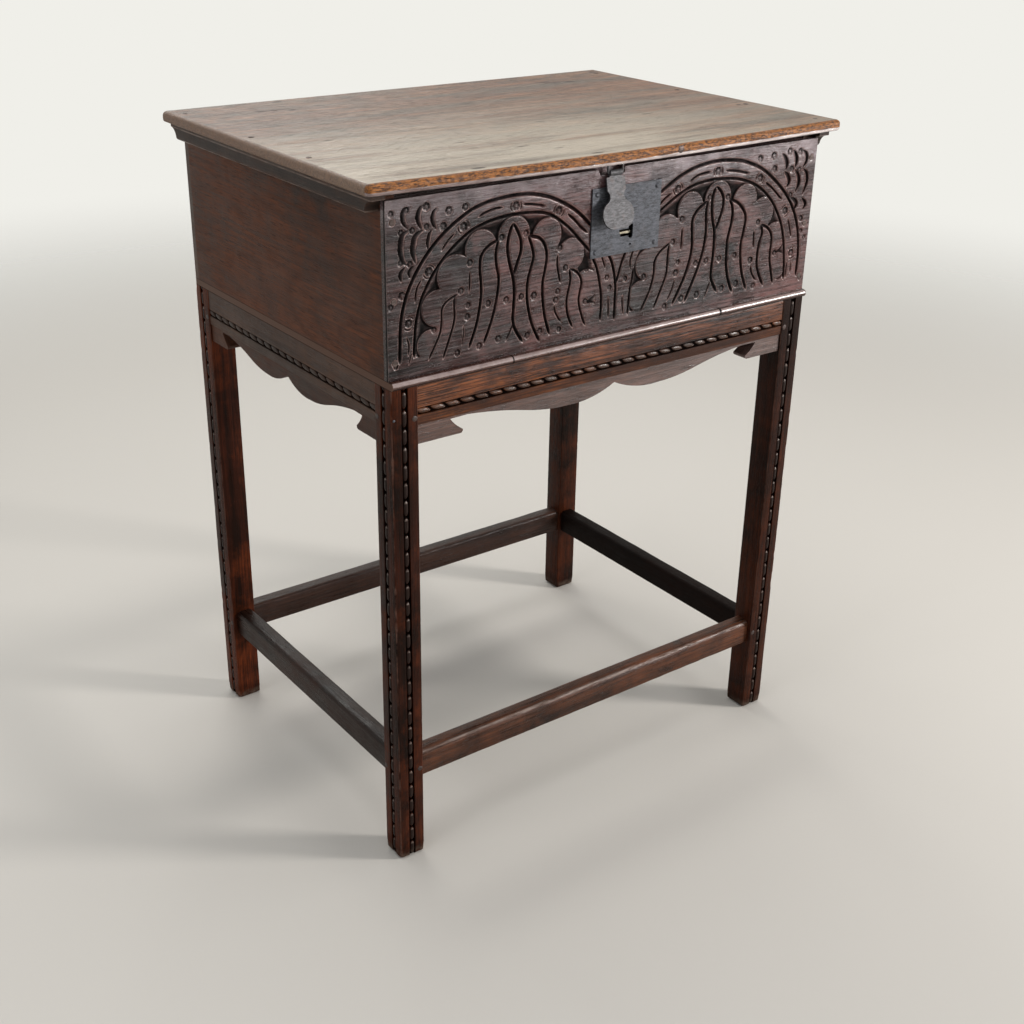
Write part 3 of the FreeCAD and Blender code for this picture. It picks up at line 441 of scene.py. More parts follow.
def iron(name, dark, body, rust, gloss=0.5, metal=0.75, rusty=0.5):
    """Hand-worked iron, blackened and rubbed, with a little rust."""
    s = Shader(name)
    hammer = s.noise(70, detail=2.0, roughness=0.5)
    pits = s.noise(900, detail=3.0, roughness=0.7)
    stain = s.noise((130, 130, 480), (3, 1, 2), 6.0, 0.8)
    colour = s.mix(stain.span(0.34, 0.62), dark, body)
    colour = s.mix(hammer.span(0.55, 0.75, 0.0, rusty), colour, rust)
    return s.coat({"Base Color": s.mix(pits.span(0.60, 0.7, 0.0, 0.45), colour, dark),
                   "Metallic": metal, "Roughness": stain.span(0.3, 0.7, gloss + 0.14, gloss - 0.05),
                   "Normal": s.bump(hammer, 0.35, 0.001, s.bump(pits, 0.3, 0.0003))})


# Where dirt lies and where hands have rubbed

def cut_grime_and_shade(s):
    """Grime and painted shade in the carving: darkening that grows with the depth below the board's
    face.
    """
    deep = (s.y - FRONT_Y).band(0.7, 1.8, 4.1, 4.3)
    return deep * s.noise(160, detail=3.0, roughness=0.6).span(0.25, 0.6, 0.75, 1.0)


def cut_wear_and_highlights(s):
    """Arrises of the carving that hands and wax have made paler, also painted as highlights, and a
    painted sheen on the board's upper part, most to the right.
    """
    arris = (s.y - FRONT_Y).band(0.06, 0.2, 0.4, 0.8)
    patchy = s.noise(70, (1, 4, 2), 3.0, 0.6).span(0.35, 0.6, 0.1, 0.75)
    # painted sheen: paler high on the board and towards the right
    upper = (s.z.span(852, 880) * s.patches(30, 0.25, 0.85, (2, 9, 4))
             * s.x.span(-150, 200, 0.55, 1.0))
    return [(upper, (132, 112, 114), 0.22, 0.8), (arris * patchy, (160, 128, 121), 0.24, 0.6)]


def arris_shine(one, two, low=0.1, high=0.55, reach=3.5):
    """A rounded arris: it lies near both of two faces and in neither, by its places from them."""
    one, two = abs(one), abs(two)
    return one.least(two).span(low, high) * one.most(two).span(reach * 1.1, reach * 0.9)


def channel_shine(across, depth):
    """The rubbed crowns of a channel's pearls, by the places across it and into the wood."""
    return abs(across).span(4.4, 4.1) * depth.span(1.4, 0.6)


def channel_grime_and_shade(across, depth):
    """Grime and painted shade deep in a sunk channel."""
    return abs(across).span(4.9, 4.7) * depth.band(0.9, 2.2, 3.0, 3.4)


def leg_channels(s):
    """Across and depth of the channel in a leg's outer side and of the one in its face."""
    x, y = abs(s.x), abs(s.y)
    return (y - (LEG_Y - LEG / 2), LEG_X - x), (x - (LEG_X - LEG / 2), LEG_Y - y)


def leg_grime_and_shade(s):
    # grime and painted shade in the leg's channels, and grime at the foot
    side, front = (channel_grime_and_shade(*channel) for channel in leg_channels(s))
    return side.most(front).most(s.z.span(30, 4) * 0.35)


def pearl_tips(run, pitch, first):
    """The upper ends of a run of pearls: first is the middle of one of them."""
    return ((run - first) * (1 / pitch)).math("FRACT").band(0.27, 0.32, 0.42, 0.46)


def leg_wear_and_highlights(s):
    x, y, z = abs(s.x), abs(s.y), s.z
    side, front = (channel_shine(*channel) for channel in leg_channels(s))
    tips = (side * pearl_tips(z, *SIDE_PEARLS)).most(front * pearl_tips(z, *FACE_PEARLS))
    arris = arris_shine(x - LEG_X, y - LEG_Y)
    for far_x, far_y in ((INNER_X, LEG_Y), (LEG_X, INNER_Y)):
        arris = arris.most(arris_shine(x - far_x, y - far_y))
    # dark pearl crowns; painted highlights on the pearls' upper ends; arrises rubbed and painted as
    # highlights; scuffed, dusty feet
    return [(side.most(front), (32, 19, 14), 0.34, 0.15),
            (tips * s.patches(50, 0.2, 0.9), (112, 94, 84), 0.25, 0.5),
            (arris * s.patches(45, 0.0, 0.9), (96, 58, 42), 0.26, 0.5),
            (z.span(14, 4) * s.patches(120, 0.0, 0.9), (96, 80, 68), 0.6, 0.2)]


# grime and painted shade in the rails' channels
def front_rail_grime_and_shade(s):
    return channel_grime_and_shade(s.z - BEAD_Z, s.y + RAIL_Y)


def side_rail_grime_and_shade(s):
    return channel_grime_and_shade(s.z - BEAD_Z, RAIL_X - abs(s.x))


def front_rail_wear(s):
    crowns = channel_shine(s.z - BEAD_Z, s.y + RAIL_Y)
    return [(s.z.span(636.5, 635.5) * s.patches(24, 0.3, 0.85), (66, 43, 34), 0.45, 0.08),
            (crowns * s.patches(60, 0.4, 1.0), (60, 42, 32), 0.26, 0.45)]


def side_rail_wear(s):
    crowns = channel_shine(s.z - BEAD_Z, RAIL_X - abs(s.x))
    return [(crowns * s.patches(60, 0.4, 1.0), (46, 34, 28), 0.34, 0.2)]


def tread_wear_and_highlight(s):
    """The bright stripe along the front stretcher's upper edge: rubbed by feet and painted as a
    highlight.
    """
    streaky = s.noise((30, 260, 260), (1, 1, 6), 4.0, 0.7).span(0.36, 0.6, 0.0, 0.9)
    arris = arris_shine(s.y - TREAD_Y, s.z - TREAD_Z, 1.4, 2.8, 11.0)
    return [(arris * streaky, (150, 132, 122), 0.22, 0.7)]


def marked(s):
    """How much a place lies in one of the lid's marks."""
    shares = []
    for x, y, long, wide, turn in LID_MARKS:
        local = s.node("ShaderNodeMapping",
                       {"Vector": s.place, "Location": (x * MM, y * MM, LID_TOP * MM),
                        "Rotation": (0, 0, math.radians(turn)),
                        "Scale": (long * MM, wide * MM, 0.02)}, vector_type="TEXTURE")
        shares.append(s.length(local.outputs[0]).span(1.15, 0.75))
    return reduce(Value.most, shares)


def lid_wear_and_light(s):
    """The raw band along the front's upper edge, the polished nose under it with a painted
    highlight, painted shade along the front's lower edge, a sun-faded top with a painted sheen
    towards the front left, and dark marks.
    """
    x, y = s.x, s.y
    level = s.z + abs(x).span(0, 360, 4.2, 0.0)     # as if the board hadn't sagged
    ragged = s.noise(60, roughness=0.7) * 2.2
    front = (y + ragged).span(-258.3, -258.9)
    band = front * (level + ragged).span(905.4, 906.2)
    nose = front - band
    fleck = s.noise((170, 600, 600), roughness=0.7)
    raw = s.mix(fleck.span(0.41, 0.60), (62, 33, 14), (166, 104, 46))
    edge = s.mix(fleck.span(0.42, 0.6), (84, 58, 42), (128, 94, 68))
    side = (abs(x - (LID[0] + LID[1]) / 2) - ragged).span(364.0, 365.5)
    # a painted highlight along the nose, stronger to the right
    shine = x.span(-250, 120, 0.25, 1.0) * s.noise((22, 60, 60), (2, 0, 5), 3.0, 0.6).span(
        0.35, 0.55, 0.5, 1.0)
    # a sun-faded top and a painted sheen on it, most at the front left
    bleached_and_sheen = y.span(100, -200) * x.span(50, 320, 1.0, 0.3) * s.noise(
        (3, 26, 26), (3, 1, 1), 4.0, 0.6).span(0.38, 0.54, 0.3, 0.9)
    return [(bleached_and_sheen, (176, 162, 142), 0.36, 0.5),
            (side * 0.9, edge, 0.45, 0.4),
            (band, raw, 0.5, 0.3),
            (nose, (86, 48, 38), 0.28, 0.5),
            (nose * shine, (222, 208, 204), 0.16, 1.0),
            # painted shade along the front's lower edge
            (front * level.span(901.4, 900.4), (30, 18, 14), 0.6, 0.1),
            (marked(s) * 0.8, (44, 36, 32), 0.6, 0.2)]


def floor_wear_and_light(s):
    """The floor boards' ends are dull and dark at the box's sides, and so are their joints; the
    nosing has painted shade on its lower half and a rubbed crown painted as a highlight.
    """
    z = s.z
    end = abs(s.x).span(338.5, 339.5)
    left, right = FLOOR_JOINTS
    joints = abs(s.x - left).least(abs(s.x - right) - 0.6)
    seam = end * z.span(683.2, 683.7).most(z.span(674.9, 674.4))
    front = s.y.span(-257.8, -258.6)
    # painted shade under the nosing, then its crown: rubbed and painted as a highlight
    return [(front * z.span(678.0, 676.8), (36, 20, 16), 0.5, 0.2),
            (front * z.band(678.8, 680.4, 683.2, 683.9) * s.patches(40, 0.5, 0.9),
             (166, 146, 142), 0.2, 0.8),
            (end, (82, 57, 44), 0.5, 0.15),
            (seam.most(joints.span(1.4, 0.8)), (12, 8, 7), 0.8, 0.05)]


def cleat_shading_and_ends(s):
    """Dark ends, painted shade under the lid and in the cove, and painted highlights on the arrises
    above and below it.
    """
    z = s.z
    arris = z.band(893.4, 894.0, 894.8, 895.4).most(z.span(881.2, 880.2))
    cove = z.band(881.2, 884.5, 892.8, 894.0)
    # painted shade in the cove and under the lid; painted highlights on the arrises
    return [(cove * s.patches(30, 0.35, 0.85), (30, 22, 18), 0.5, 0.15),
            (z.span(898.0, 899.4) * 0.8, (16, 11, 9), 0.7, 0.05),
            (arris * s.patches(45, 0.2, 0.8), (108, 88, 76), 0.35, 0.3),
            (abs(s.y).span(257.5, 259.0), (34, 25, 21), 0.55, 0.2)]


# Mesh making

def add_mesh(name, points, faces, body, material, replaces, crease):
    """A new piece from points in millimetres, riding on a body."""
    mesh = bpy.data.meshes.new(name)
    mesh.from_pydata([(x * MM, y * MM, z * MM) for x, y, z in points], [], faces)
    mesh.update()
    mesh.validate()
    mesh.shade_smooth()
    mesh.set_sharp_from_angle(angle=math.radians(crease))
    mesh.materials.append(material)
    piece = bpy.data.objects.new(name, mesh)
    bpy.context.scene.collection.objects.link(piece)
    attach(piece, body)
    if replaces:
        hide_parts(*replaces)
    return piece


def closed(name, stacks, body, material, replaces, crease):
    """A piece of closed bodies, each through a stack of rings of equally many points."""
    points, faces = [], []
    for rings in stacks:
        start, count = len(points), len(rings[0])
        points += [point for ring in rings for point in ring]
        for a in range(start, len(points) - count, count):
            for n in range(count):
                m = (n + 1) % count
                faces.append((a + n, a + m, a + count + m, a + count + n))
        faces.append(list(range(start, start + count))[::-1])
        faces.append(list(range(len(points) - count, len(points))))
    mesh = add_mesh(name, points, faces, body, material, replaces, crease).data
    mend = bmesh.new()
    mend.from_mesh(mesh)
    bmesh.ops.recalc_face_normals(mend, faces=mend.faces)
    mend.to_mesh(mesh)
    mend.free()
    mesh.set_sharp_from_angle(angle=math.radians(crease))


def round_ring(middle, one, two, radii, spin=0.0):
    """Points round a middle, in the plane of two directions and with a radius for each."""
    ring = []
    for n, radius in enumerate(radii):
        angle = math.tau * (n + spin) / len(radii)
        ring.append(tuple(middle + (one * math.cos(angle) + two * math.sin(angle)) * radius))
    return ring


def arc(x, y, radius, start, stop, count):
    """Points on a circle round (x, y), from start to stop degrees."""
    angles = [math.radians(start + (stop - start) * n / (count - 1)) for n in range(count)]
    return [(x + radius * math.cos(angle), y + radius * math.sin(angle)) for angle in angles]


def wobble(*place):
    """Smooth noise, between about -1 and 1."""
    return noise.noise(place)


def dress(material, *names):
    """Gives CAD nodes a material."""
    for name in names:
        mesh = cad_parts[name].data
        mesh.materials.clear()
        mesh.materials.append(material)


# The carved front board

def spline(points, step=0.6):
    """Points along a Catmull-Rom curve, about a step apart."""
    p = np.array([points[0]] + list(points) + [points[-1]], float)
    out = []
    for a, b, c, d in zip(p, p[1:], p[2:], p[3:]):
        count = max(2, int(np.linalg.norm(c - b) / step))
        t = (np.arange(count) / count)[:, None]
        out.append(0.5 * (2 * b + (c - a) * t + (2 * a - 5 * b + 4 * c - d) * t ** 2
                          + (3 * b - a - 3 * c + d) * t ** 3))
    out.append(p[-2:-1])
    return np.concatenate(out)


def inside(polygon, x, z):
    """Which places of a grid lie in a polygon."""
    hit = np.zeros(x.shape, bool)
    for (x0, z0), (x1, z1) in zip(polygon, polygon[1:] + polygon[:1]):
        if z0 != z1:
            hit ^= ((z0 > z) != (z1 > z)) & (x < x0 + (z - z0) * (x1 - x0) / (z1 - z0))
    return hit


class Relief:
    """Depths in millimetres below a flat face, over a grid of places."""

    def __init__(self, xs, zs):
        self.xs, self.zs = xs, zs
        self.depth = np.zeros((len(zs), len(xs)))

    def near(self, x, z, reach):
        """The part of the grid within reach of a place, and how far off it is in x and z."""
        i0, i1 = np.searchsorted(self.xs, (x - reach, x + reach))
        k0, k1 = np.searchsorted(self.zs, (z - reach, z + reach))
        return (slice(k0, k1), slice(i0, i1)), self.xs[None, i0:i1] - x, self.zs[k0:k1, None] - z

    def sink(self, where, depth):
        self.depth[where] = np.maximum(self.depth[where], depth)

    def groove(self, points, width, depth, tip=6.0):
        """A V cut with a gouge, narrowing to nothing at both ends."""
        line = spline(points)
        run = np.concatenate([[0], np.cumsum(np.linalg.norm(np.diff(line, axis=0), axis=1))])
        taper = np.clip(np.minimum(run, run[-1] - run) / tip, 0.05, 1) ** 0.6
        for (x, z), t in zip(line, taper):
            half = width * 0.56 * (0.35 + 0.65 * t)
            where, dx, dz = self.near(x, z, half)
            away = np.hypot(dx, dz) / half
            self.sink(where, depth * t * np.clip(1 - away, 0, 1) ** 1.35)

    def scale(self, points, reach, depth):
        """A crescent cut with a steep outer wall, rising towards the hollow side of its curve."""
        line = spline(points)
        hollow = (line[0] + line[-1]) / 2 - line.mean(axis=0)
        ahead = np.gradient(line, axis=0)
        ahead /= np.linalg.norm(ahead, axis=1)[:, None]
        for n, (x, z) in enumerate(line):
            inward = np.array((-ahead[n, 1], ahead[n, 0]))
            if inward @ hollow < 0:
                inward = -inward
            t = math.sin(math.pi * (n + 0.5) / len(line)) ** 0.5
            where, dx, dz = self.near(x, z, reach)
            along = dx * inward[0] + dz * inward[1]
            across = np.abs(dx * inward[1] - dz * inward[0])
            fall = np.where(along < 0, 1 + along / 0.9, 1 - along / (reach * t))
            self.sink(where, depth * t * np.clip(fall, 0, 1) * (across < 1.0))

    def punch(self, x, z, radius, depth, turn):
        """A struck flower: a dish with six faint petals and a small boss, deeper on one side."""
        where, dx, dz = self.near(x, z, radius)
        away = np.hypot(dx, dz) / radius
        lean = math.radians(90 + 42 * math.sin(7 * turn))
        high = (dx * math.cos(lean) + dz * math.sin(lean)) / radius
        rim = np.clip((1 - away) / 0.22, 0, 1)
        petals = 0.84 + 0.16 * np.cos(6 * (np.arctan2(dz, dx) + turn))
        boss = 1 - 0.45 * np.clip((0.42 - away) / 0.15, 0, 1)
        tilt = 0.48 + 0.52 * np.clip(0.5 + 0.7 * high, 0, 1)
        self.sink(where, depth * rim * petals * boss * tilt)

    def cheeks(self, x, z, slope):
        """The short curved cuts on both sides of a flower in the arch's band."""
        for turned in (180, 0):
            middle = slope + turned
            self.groove(arc(x, z, 7.6, middle - 48, middle + 48, 5), 3.2, 2.0, 3.0)

    def dimple(self, x, z, flat, rim, depth):
        where, dx, dz = self.near(x, z, rim)
        self.sink(where, depth * np.clip((rim - np.hypot(dx, dz)) / (rim - flat), 0, 1))

    def chips(self, inner, lobes, floor=706.0, reach=26.0):
        """The ground between an arch and the lobes under it, cut back in deep chips."""
        x, z = np.meshgrid(self.xs, self.zs)
        near = np.full(x.shape, 1e9)
        for px, pz in spline(inner, 2.0):
            where, dx, dz = self.near(px, pz, reach)
            near[where] = np.minimum(near[where], np.hypot(dx, dz))
        clear = np.full(x.shape, 1e9)
        for px, pz, radius in lobes:
            clear = np.minimum(clear, np.hypot(x - px, z - pz) - radius)
        order = [lobes[n][:2] for n in (7, 5, 3, 1, 0, 2, 4, 6, 8)]
        core = order + [(order[-1][0], 690.0), (order[0][0], 690.0)]
        chip = inside(list(inner), x, z) & ~inside(core, x, z)
        chip &= (clear > 0) & (near < reach) & (z > floor)
        slope = 0.5 + 0.22 * np.clip(near - 2.0, 0, None) + 1.5 * np.clip(1 - clear / 3.5, 0, 1)
        depth = np.minimum(3.0, slope) * np.clip(clear / 1.4, 0, 1) ** 0.7
        self.sink(chip, depth[chip])


def grid_lines(stops, step):
    """Lines through all the stops, about a step apart."""
    lines = [np.array(stops[:1])]
    for low, high in zip(stops, stops[1:]):
        count = max(1, round((high - low) / step))
        lines.append(np.linspace(low, high, count + 1)[1:])
    return np.concatenate(lines)


def places(flat):
    """Pairs of x and z from a row of a table."""
    return list(zip(flat[::2], flat[1::2]))


def carved_relief(xs, zs):
    """The depth of the carving at each place of a grid."""
    relief = Relief(xs, zs)
    left_inner = places(GROOVES_LEFT[1][1:]) + [(-44, 785), (-40, 760), (-38, 735), (-37, 702)]
    right_inner = [(17, 702), (18, 735), (22, 762), (35, 800)] + places(GROOVES_RIGHT[1][1:])
    relief.chips(left_inner, LOBES_LEFT)
    relief.chips(right_inner, LOBES_RIGHT)
    for width, *line in GROOVES_LEFT + GROOVES_RIGHT:
        relief.groove(places(line), width * 1.2, min(3.9, 0.9 * width))
    for reach, *line in SCALES_LEFT + SCALES_RIGHT:
        relief.scale(places(line), reach, 3.4)
    for n, (x, z, radius) in enumerate(PUNCHES_LEFT + PUNCHES_RIGHT):
        relief.punch(x, z, radius * 1.25, 2.5, n * 0.7)
    for punches, slopes in zip((PUNCHES_LEFT, PUNCHES_RIGHT), BAND_SLOPES):
        for (x, z, _), slope in zip(punches, slopes):
            relief.cheeks(x, z, slope)
    for x, z in NAIL_PLACES:
        relief.dimple(x, z, 3.75, 4.6, 0.7)
    return relief.depth


def carved_board(material, step=0.8):
    """The front board with its carving cut into a fine grid; the rest of it is flat."""
    x0, x1, z0, z1 = BOARD
    mx0, mx1, mz0, mz1 = MORTISE
    nx0, nx1, nz0, _ = NOTCH
    xs = grid_lines([x0, mx0, nx0, nx1, mx1, x1], step)
    zs = grid_lines([z0, mz0, mz1, nz0, z1], step)
    mi0, mi1, ni0, ni1 = (int(np.argmin(np.abs(xs - x))) for x in (mx0, mx1, nx0, nx1))
    mk0, mk1, nk0 = (int(np.argmin(np.abs(zs - z))) for z in (mz0, mz1, nz0))
    right, top = len(xs) - 1, len(zs) - 1
    depth = carved_relief(xs, zs)
    for flat in (depth[0], depth[top], depth[:, 0], depth[:, right],
                 depth[mk0 - 1:mk1 + 2, mi0 - 1:mi1 + 2], depth[nk0:, ni0 - 5:ni1 + 2]):
        flat[...] = 0
    points, index, faces = [], {}, []
    for k, z in enumerate(zs):
        for i, x in enumerate(xs):
            if (mk0 < k < mk1 and mi0 < i < mi1) or (k > nk0 and ni0 < i < ni1):
                continue
            lean = 0.0
            if z > nz0 and x <= nx0:
                lean = NOTCH_LEAN * (z - nz0) / (z1 - nz0) * max(0.0, 1 - (nx0 - x) / 40)
            index[i, k] = len(points)
            points.append((x - lean, FRONT_Y + depth[k, i], z))
    for k in range(top):
        for i in range(right):
            if not (mk0 <= k < mk1 and mi0 <= i < mi1) and not (k >= nk0 and ni0 <= i < ni1):
                faces.append((index[i, k], index[i + 1, k], index[i + 1, k + 1], index[i, k + 1]))

    def corner(x, y, z):
        points.append((x, y, z))
        return len(points) - 1

    def run(i0, i1, k0, k1):
        """Boundary points from one grid place to another, along a row or a column."""
        steps = max(abs(i1 - i0), abs(k1 - k0))
        return [index[round(i0 + (i1 - i0) * n / steps), round(k0 + (k1 - k0) * n / steps)]
                for n in range(steps + 1)]

    lap, back, notch_y = FRONT_Y + LAP, FRONT_Y + THICK, FRONT_Y + 12
    # the corners round the board's back, left to right: lap, inner end, back
    plan = ((x0, lap), (-INNER_END, lap), (-INNER_END, back), (INNER_END, back), (INNER_END, lap),
            (x1, lap))
    low, high = ([corner(x, y, z) for x, y in plan] for z in (z0, z1))
    notch = [corner(x, notch_y, z)
             for x, z in ((nx0 - NOTCH_LEAN, z1), (nx1, z1), (nx1, nz0), (nx0, nz0))]
    hole = [corner(x, back, z) for x, z in ((mx0, mz0), (mx1, mz0), (mx1, mz1), (mx0, mz1))]
    faces += [low + run(right, 0, 0, 0),
              run(0, ni0, top, top) + notch[:2] + run(ni1, right, top, top) + high[::-1],
              run(ni0, ni1, nk0, nk0) + notch[2:], notch[::-1],
              run(ni0, ni0, top, nk0) + [notch[3], notch[0]],
              run(ni1, ni1, nk0, top) + [notch[1], notch[2]],
              run(0, 0, 0, top) + [high[0], low[0]], run(right, right, top, 0) + [low[5], high[5]]]
    faces += [[low[n + 1], low[n], high[n], high[n + 1]] for n in (0, 1, 3, 4)]
    rim = [low[2], low[3], high[3], high[2]]
    faces += [[rim[(n + 1) % 4], rim[n], hole[n], hole[(n + 1) % 4]] for n in range(4)]
    edges = ((mi0, mi1, mk0, mk0), (mi1, mi1, mk0, mk1), (mi1, mi0, mk1, mk1), (mi0, mi0, mk1, mk0))
    faces += [run(*edge) + [hole[(n + 1) % 4], hole[n]] for n, edge in enumerate(edges)]
    add_mesh("carved_front_board", points, faces, "box_and_stand", material,
             ["front_board"], 50.0)


# The stand's carved members

def channel_line(run, pearl):
    """Points across a sunk channel: (place across, depth below the face)."""
    foot = CHANNEL - 0.4
    line = [(q, SUNK - pearl(run, q)) for q in PEARL_ACROSS]
    return [(-CHANNEL, 0.0), (-foot, SUNK)] + line + [(foot, SUNK), (CHANNEL, 0.0)]


def pearls(pitch, first, half_long, half_wide, height, power, slant=0.0, seed=0):
    """Height of a run of carved pearls; first is the middle of one of them."""
    def height_at(run, q):
        phase = (run + slant * q - first) / pitch
        number = math.floor(phase + 0.5)
        p = (phase - number) * pitch
        vary = 1 + 0.06 * wobble(number * 3.7, seed, 0.5)
        rest = 1 - abs(p / (half_long * vary)) ** power - (q / half_wide) ** 2
        return height * vary * math.sqrt(rest) if rest > 0 else 0.0
    return height_at


def leg_rings(side_x, side_y, seed):
    """Rings up a leg: its outer side face is carved, and a front leg's front face too."""
    side_run = pearls(*SIDE_PEARLS, 9.7, 3.4, 2.5, 3.5, seed=seed)
    front_run = pearls(*FACE_PEARLS, 10.6, 3.5, 2.6, 3.5, seed=seed + 5)
    rings = []
    for z in [0.0, 1.0, 2.0] + [3.0 + LEG_STEP * n for n in range(433)] + [STAND_TOP]:
        rub = wobble(seed, z * 0.012, 1.5)
        nick = max(0.0, wobble(seed + 9, z * 0.07, 2.5) - 0.25) * 3.0
        foot = max(0.0, 1 - z / 16)
        low = max(0.0, 3.0 - z) + 0.6 * foot
        high = LEG - low
        # radii of the four arrises, and (a, b): a runs to the outer side, b to the outer face
        inner, side, face = 1.5, 1.6 + 0.5 * rub + 1.5 * foot, 1.6 + 1.2 * foot
        outer = 1.9 + 0.9 * rub + nick + 2.5 * foot
        ring = arc(low + inner, low + inner, inner, 180, 270, 4)
        ring += arc(high - side, low + side, side, 270, 360, 4)
        ring += [(high - d, LEG / 2 + q) for q, d in channel_line(z, side_run)]
        ring += arc(high - outer, high - outer, outer, 0, 90, 4)
        if side_y < 0:
            ring += [(LEG / 2 - q, high - d) for q, d in channel_line(z, front_run)]
        ring += arc(low + face, high - face, face, 90, 180, 4)
        rings.append([(side_x * (INNER_X + a), side_y * (INNER_Y + b), z) for a, b in ring])
    return rings


def rail_rings(place, half_run, pearl):
    """Rings along a carved rail: place(run, depth, z) gives a point."""
    rings = []
    count = round(2 * half_run / RAIL_STEP)
    for n in range(count + 1):
        run = half_run * (2 * n / count - 1)
        wear = 0.8 + 0.4 * wobble(run * 0.02, 3.1, 0.4)
        ring = [(RAIL_THICK, STAND_TOP), (RAIL_THICK, RAIL_LOW), (wear, RAIL_LOW),
                (wear * 0.3, RAIL_LOW + wear * 0.3), (0.0, RAIL_LOW + wear)]
        ring += [(d, BEAD_Z + q) for q, d in channel_line(run, pearl)]
        ring += [(0.0, STAND_TOP - wear), (wear * 0.3, STAND_TOP - wear * 0.3), (wear, STAND_TOP)]
        rings.append([place(run, depth, z) for depth, z in ring])
    return rings


def worn_bar(node, along, half, radii, material):
    """A stretcher between two legs; radii gives the roundings of its four arrises at a place."""
    low, high = (tuple(c / MM for c in corner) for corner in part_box(node))
    near, far = low[1 - along], high[1 - along]
    count = round(2 * half / BAR_STEP)
    rings = []
    for n in range(count + 1):
        run = half * (2 * n / count - 1)
        top = high[2] + 0.35 * wobble(run * 0.01, near * 0.1, 4.4)
        ring = []
        corners = ((far, low[2], 1, -1, 270), (far, top, 1, 1, 0), (near, top, -1, 1, 90),
                   (near, low[2], -1, -1, 180))
        for (a, z, side_a, side_z, start), r in zip(corners, radii(run)):
            ring += arc(a - side_a * r, z - side_z * r, r, start, start + 90, 6)
        rings.append([(run, a, z) if along == 0 else (a, run, z) for a, z in ring])
    closed("worn_" + node, [rings], "box_and_stand", material, [node], 32.0)


def trodden(run):
    """The front stretcher, which feet have rounded off."""
    low = 2.0 + 1.2 * abs(wobble(run * 0.03, 7.7, 1.1))
    front = 8.5 + 2.5 * max(0.0, 1 - (run / 260.0) ** 2) + 1.2 * wobble(run * 0.012, 2.2, 0.3)
    return 2.0, 6.0, front, low


def rubbed(run):
    """The other stretchers, rounded by rubbing."""
    top = 5.5 + wobble(run * 0.02, 5.1, 0.8)
    return 2.0, top, top, 2.0


def pegs(name, z, material, node):
    """Riven pegs at one height, with rough ends that stand a little out of the legs."""
    stacks, two = [], Vector((0, 0, 1))
    for side_x in (-1, 1):
        for side_y in (-1, 1):
            for x, y, out in ((PEG_X, LEG_Y, (0, side_y, 0)), (LEG_X, PEG_Y, (side_x, 0, 0))):
                middle, out = Vector((side_x * x, side_y * y, z)), Vector(out)
                one = Vector((abs(out.y), abs(out.x), 0))
                rng = np.random.default_rng(len(stacks) + 30)
                radii = 3.5 * (1 + 0.07 * rng.standard_normal(16))
                stacks.append([round_ring(middle + out * depth, one, two, radii * share)
                               for depth, share in PEG_PROFILE])
    closed(name, stacks, "box_and_stand", material, [node], 40.0)


# The lid, which has sagged a little in front, and what is driven into it

def lid_sag(x, y):
    """How far the lid has sunk between its cleats, most in front."""
    across = max(0.0, 1 - (x / 352.0) ** 2)
    ahead = min(1.0, max(0.0, (60.0 - y) / 320.0))
    return 3.2 * across * ahead ** 1.5


def clench_recess(x, y):
    """The shallow bed round a hinge's bent-over ends."""
    px = abs(abs(x) - CLENCH_X)
    reach = min(max(px - 22.3, abs(y - CLENCH_Y) - 1.45), max(px - 2.6, abs(y - 185.0) - 4.9))
    return 0.45 * min(1.0, max(0.0, 1 - reach / 0.5))


def rounding(near, radius):
    """How far a rounded edge lies below its face, near to the edge."""
    return radius - math.sqrt(radius ** 2 - (radius - near) ** 2) if near < radius else 0.0


def lid_lines():
    """The lid's grid lines, close together at its edges and round the clenches."""
    x0, x1, y0, y1 = LID
    xs = [x0 + r for r in ROLL] + [x1 - r for r in ROLL]
    for side in (-1, 1):
        xs += [side * (CLENCH_X + edge)
               for edge in (-22.9, -22.3, -3.2, -2.6, 2.6, 3.2, 22.3, 22.9)]
    ys = [y0 + r for r in ROLL] + [y1 - r for r in (0.0, 0.4, 1.2)]
    ys += [179.5, 180.0, 184.1, 184.7, 187.6, 188.2, 190.0, 190.5]
    for lines, low, high in ((xs, x0 + 8, x1 - 8), (ys, y0 + 8, y1 - 1.2)):
        count = round((high - low) / LID_STEP)
        for n in range(1, count):
            place = low + (high - low) * n / count
            if min(abs(place - line) for line in lines) > 1.2:
                lines.append(place)
        lines.sort()
    return xs, ys


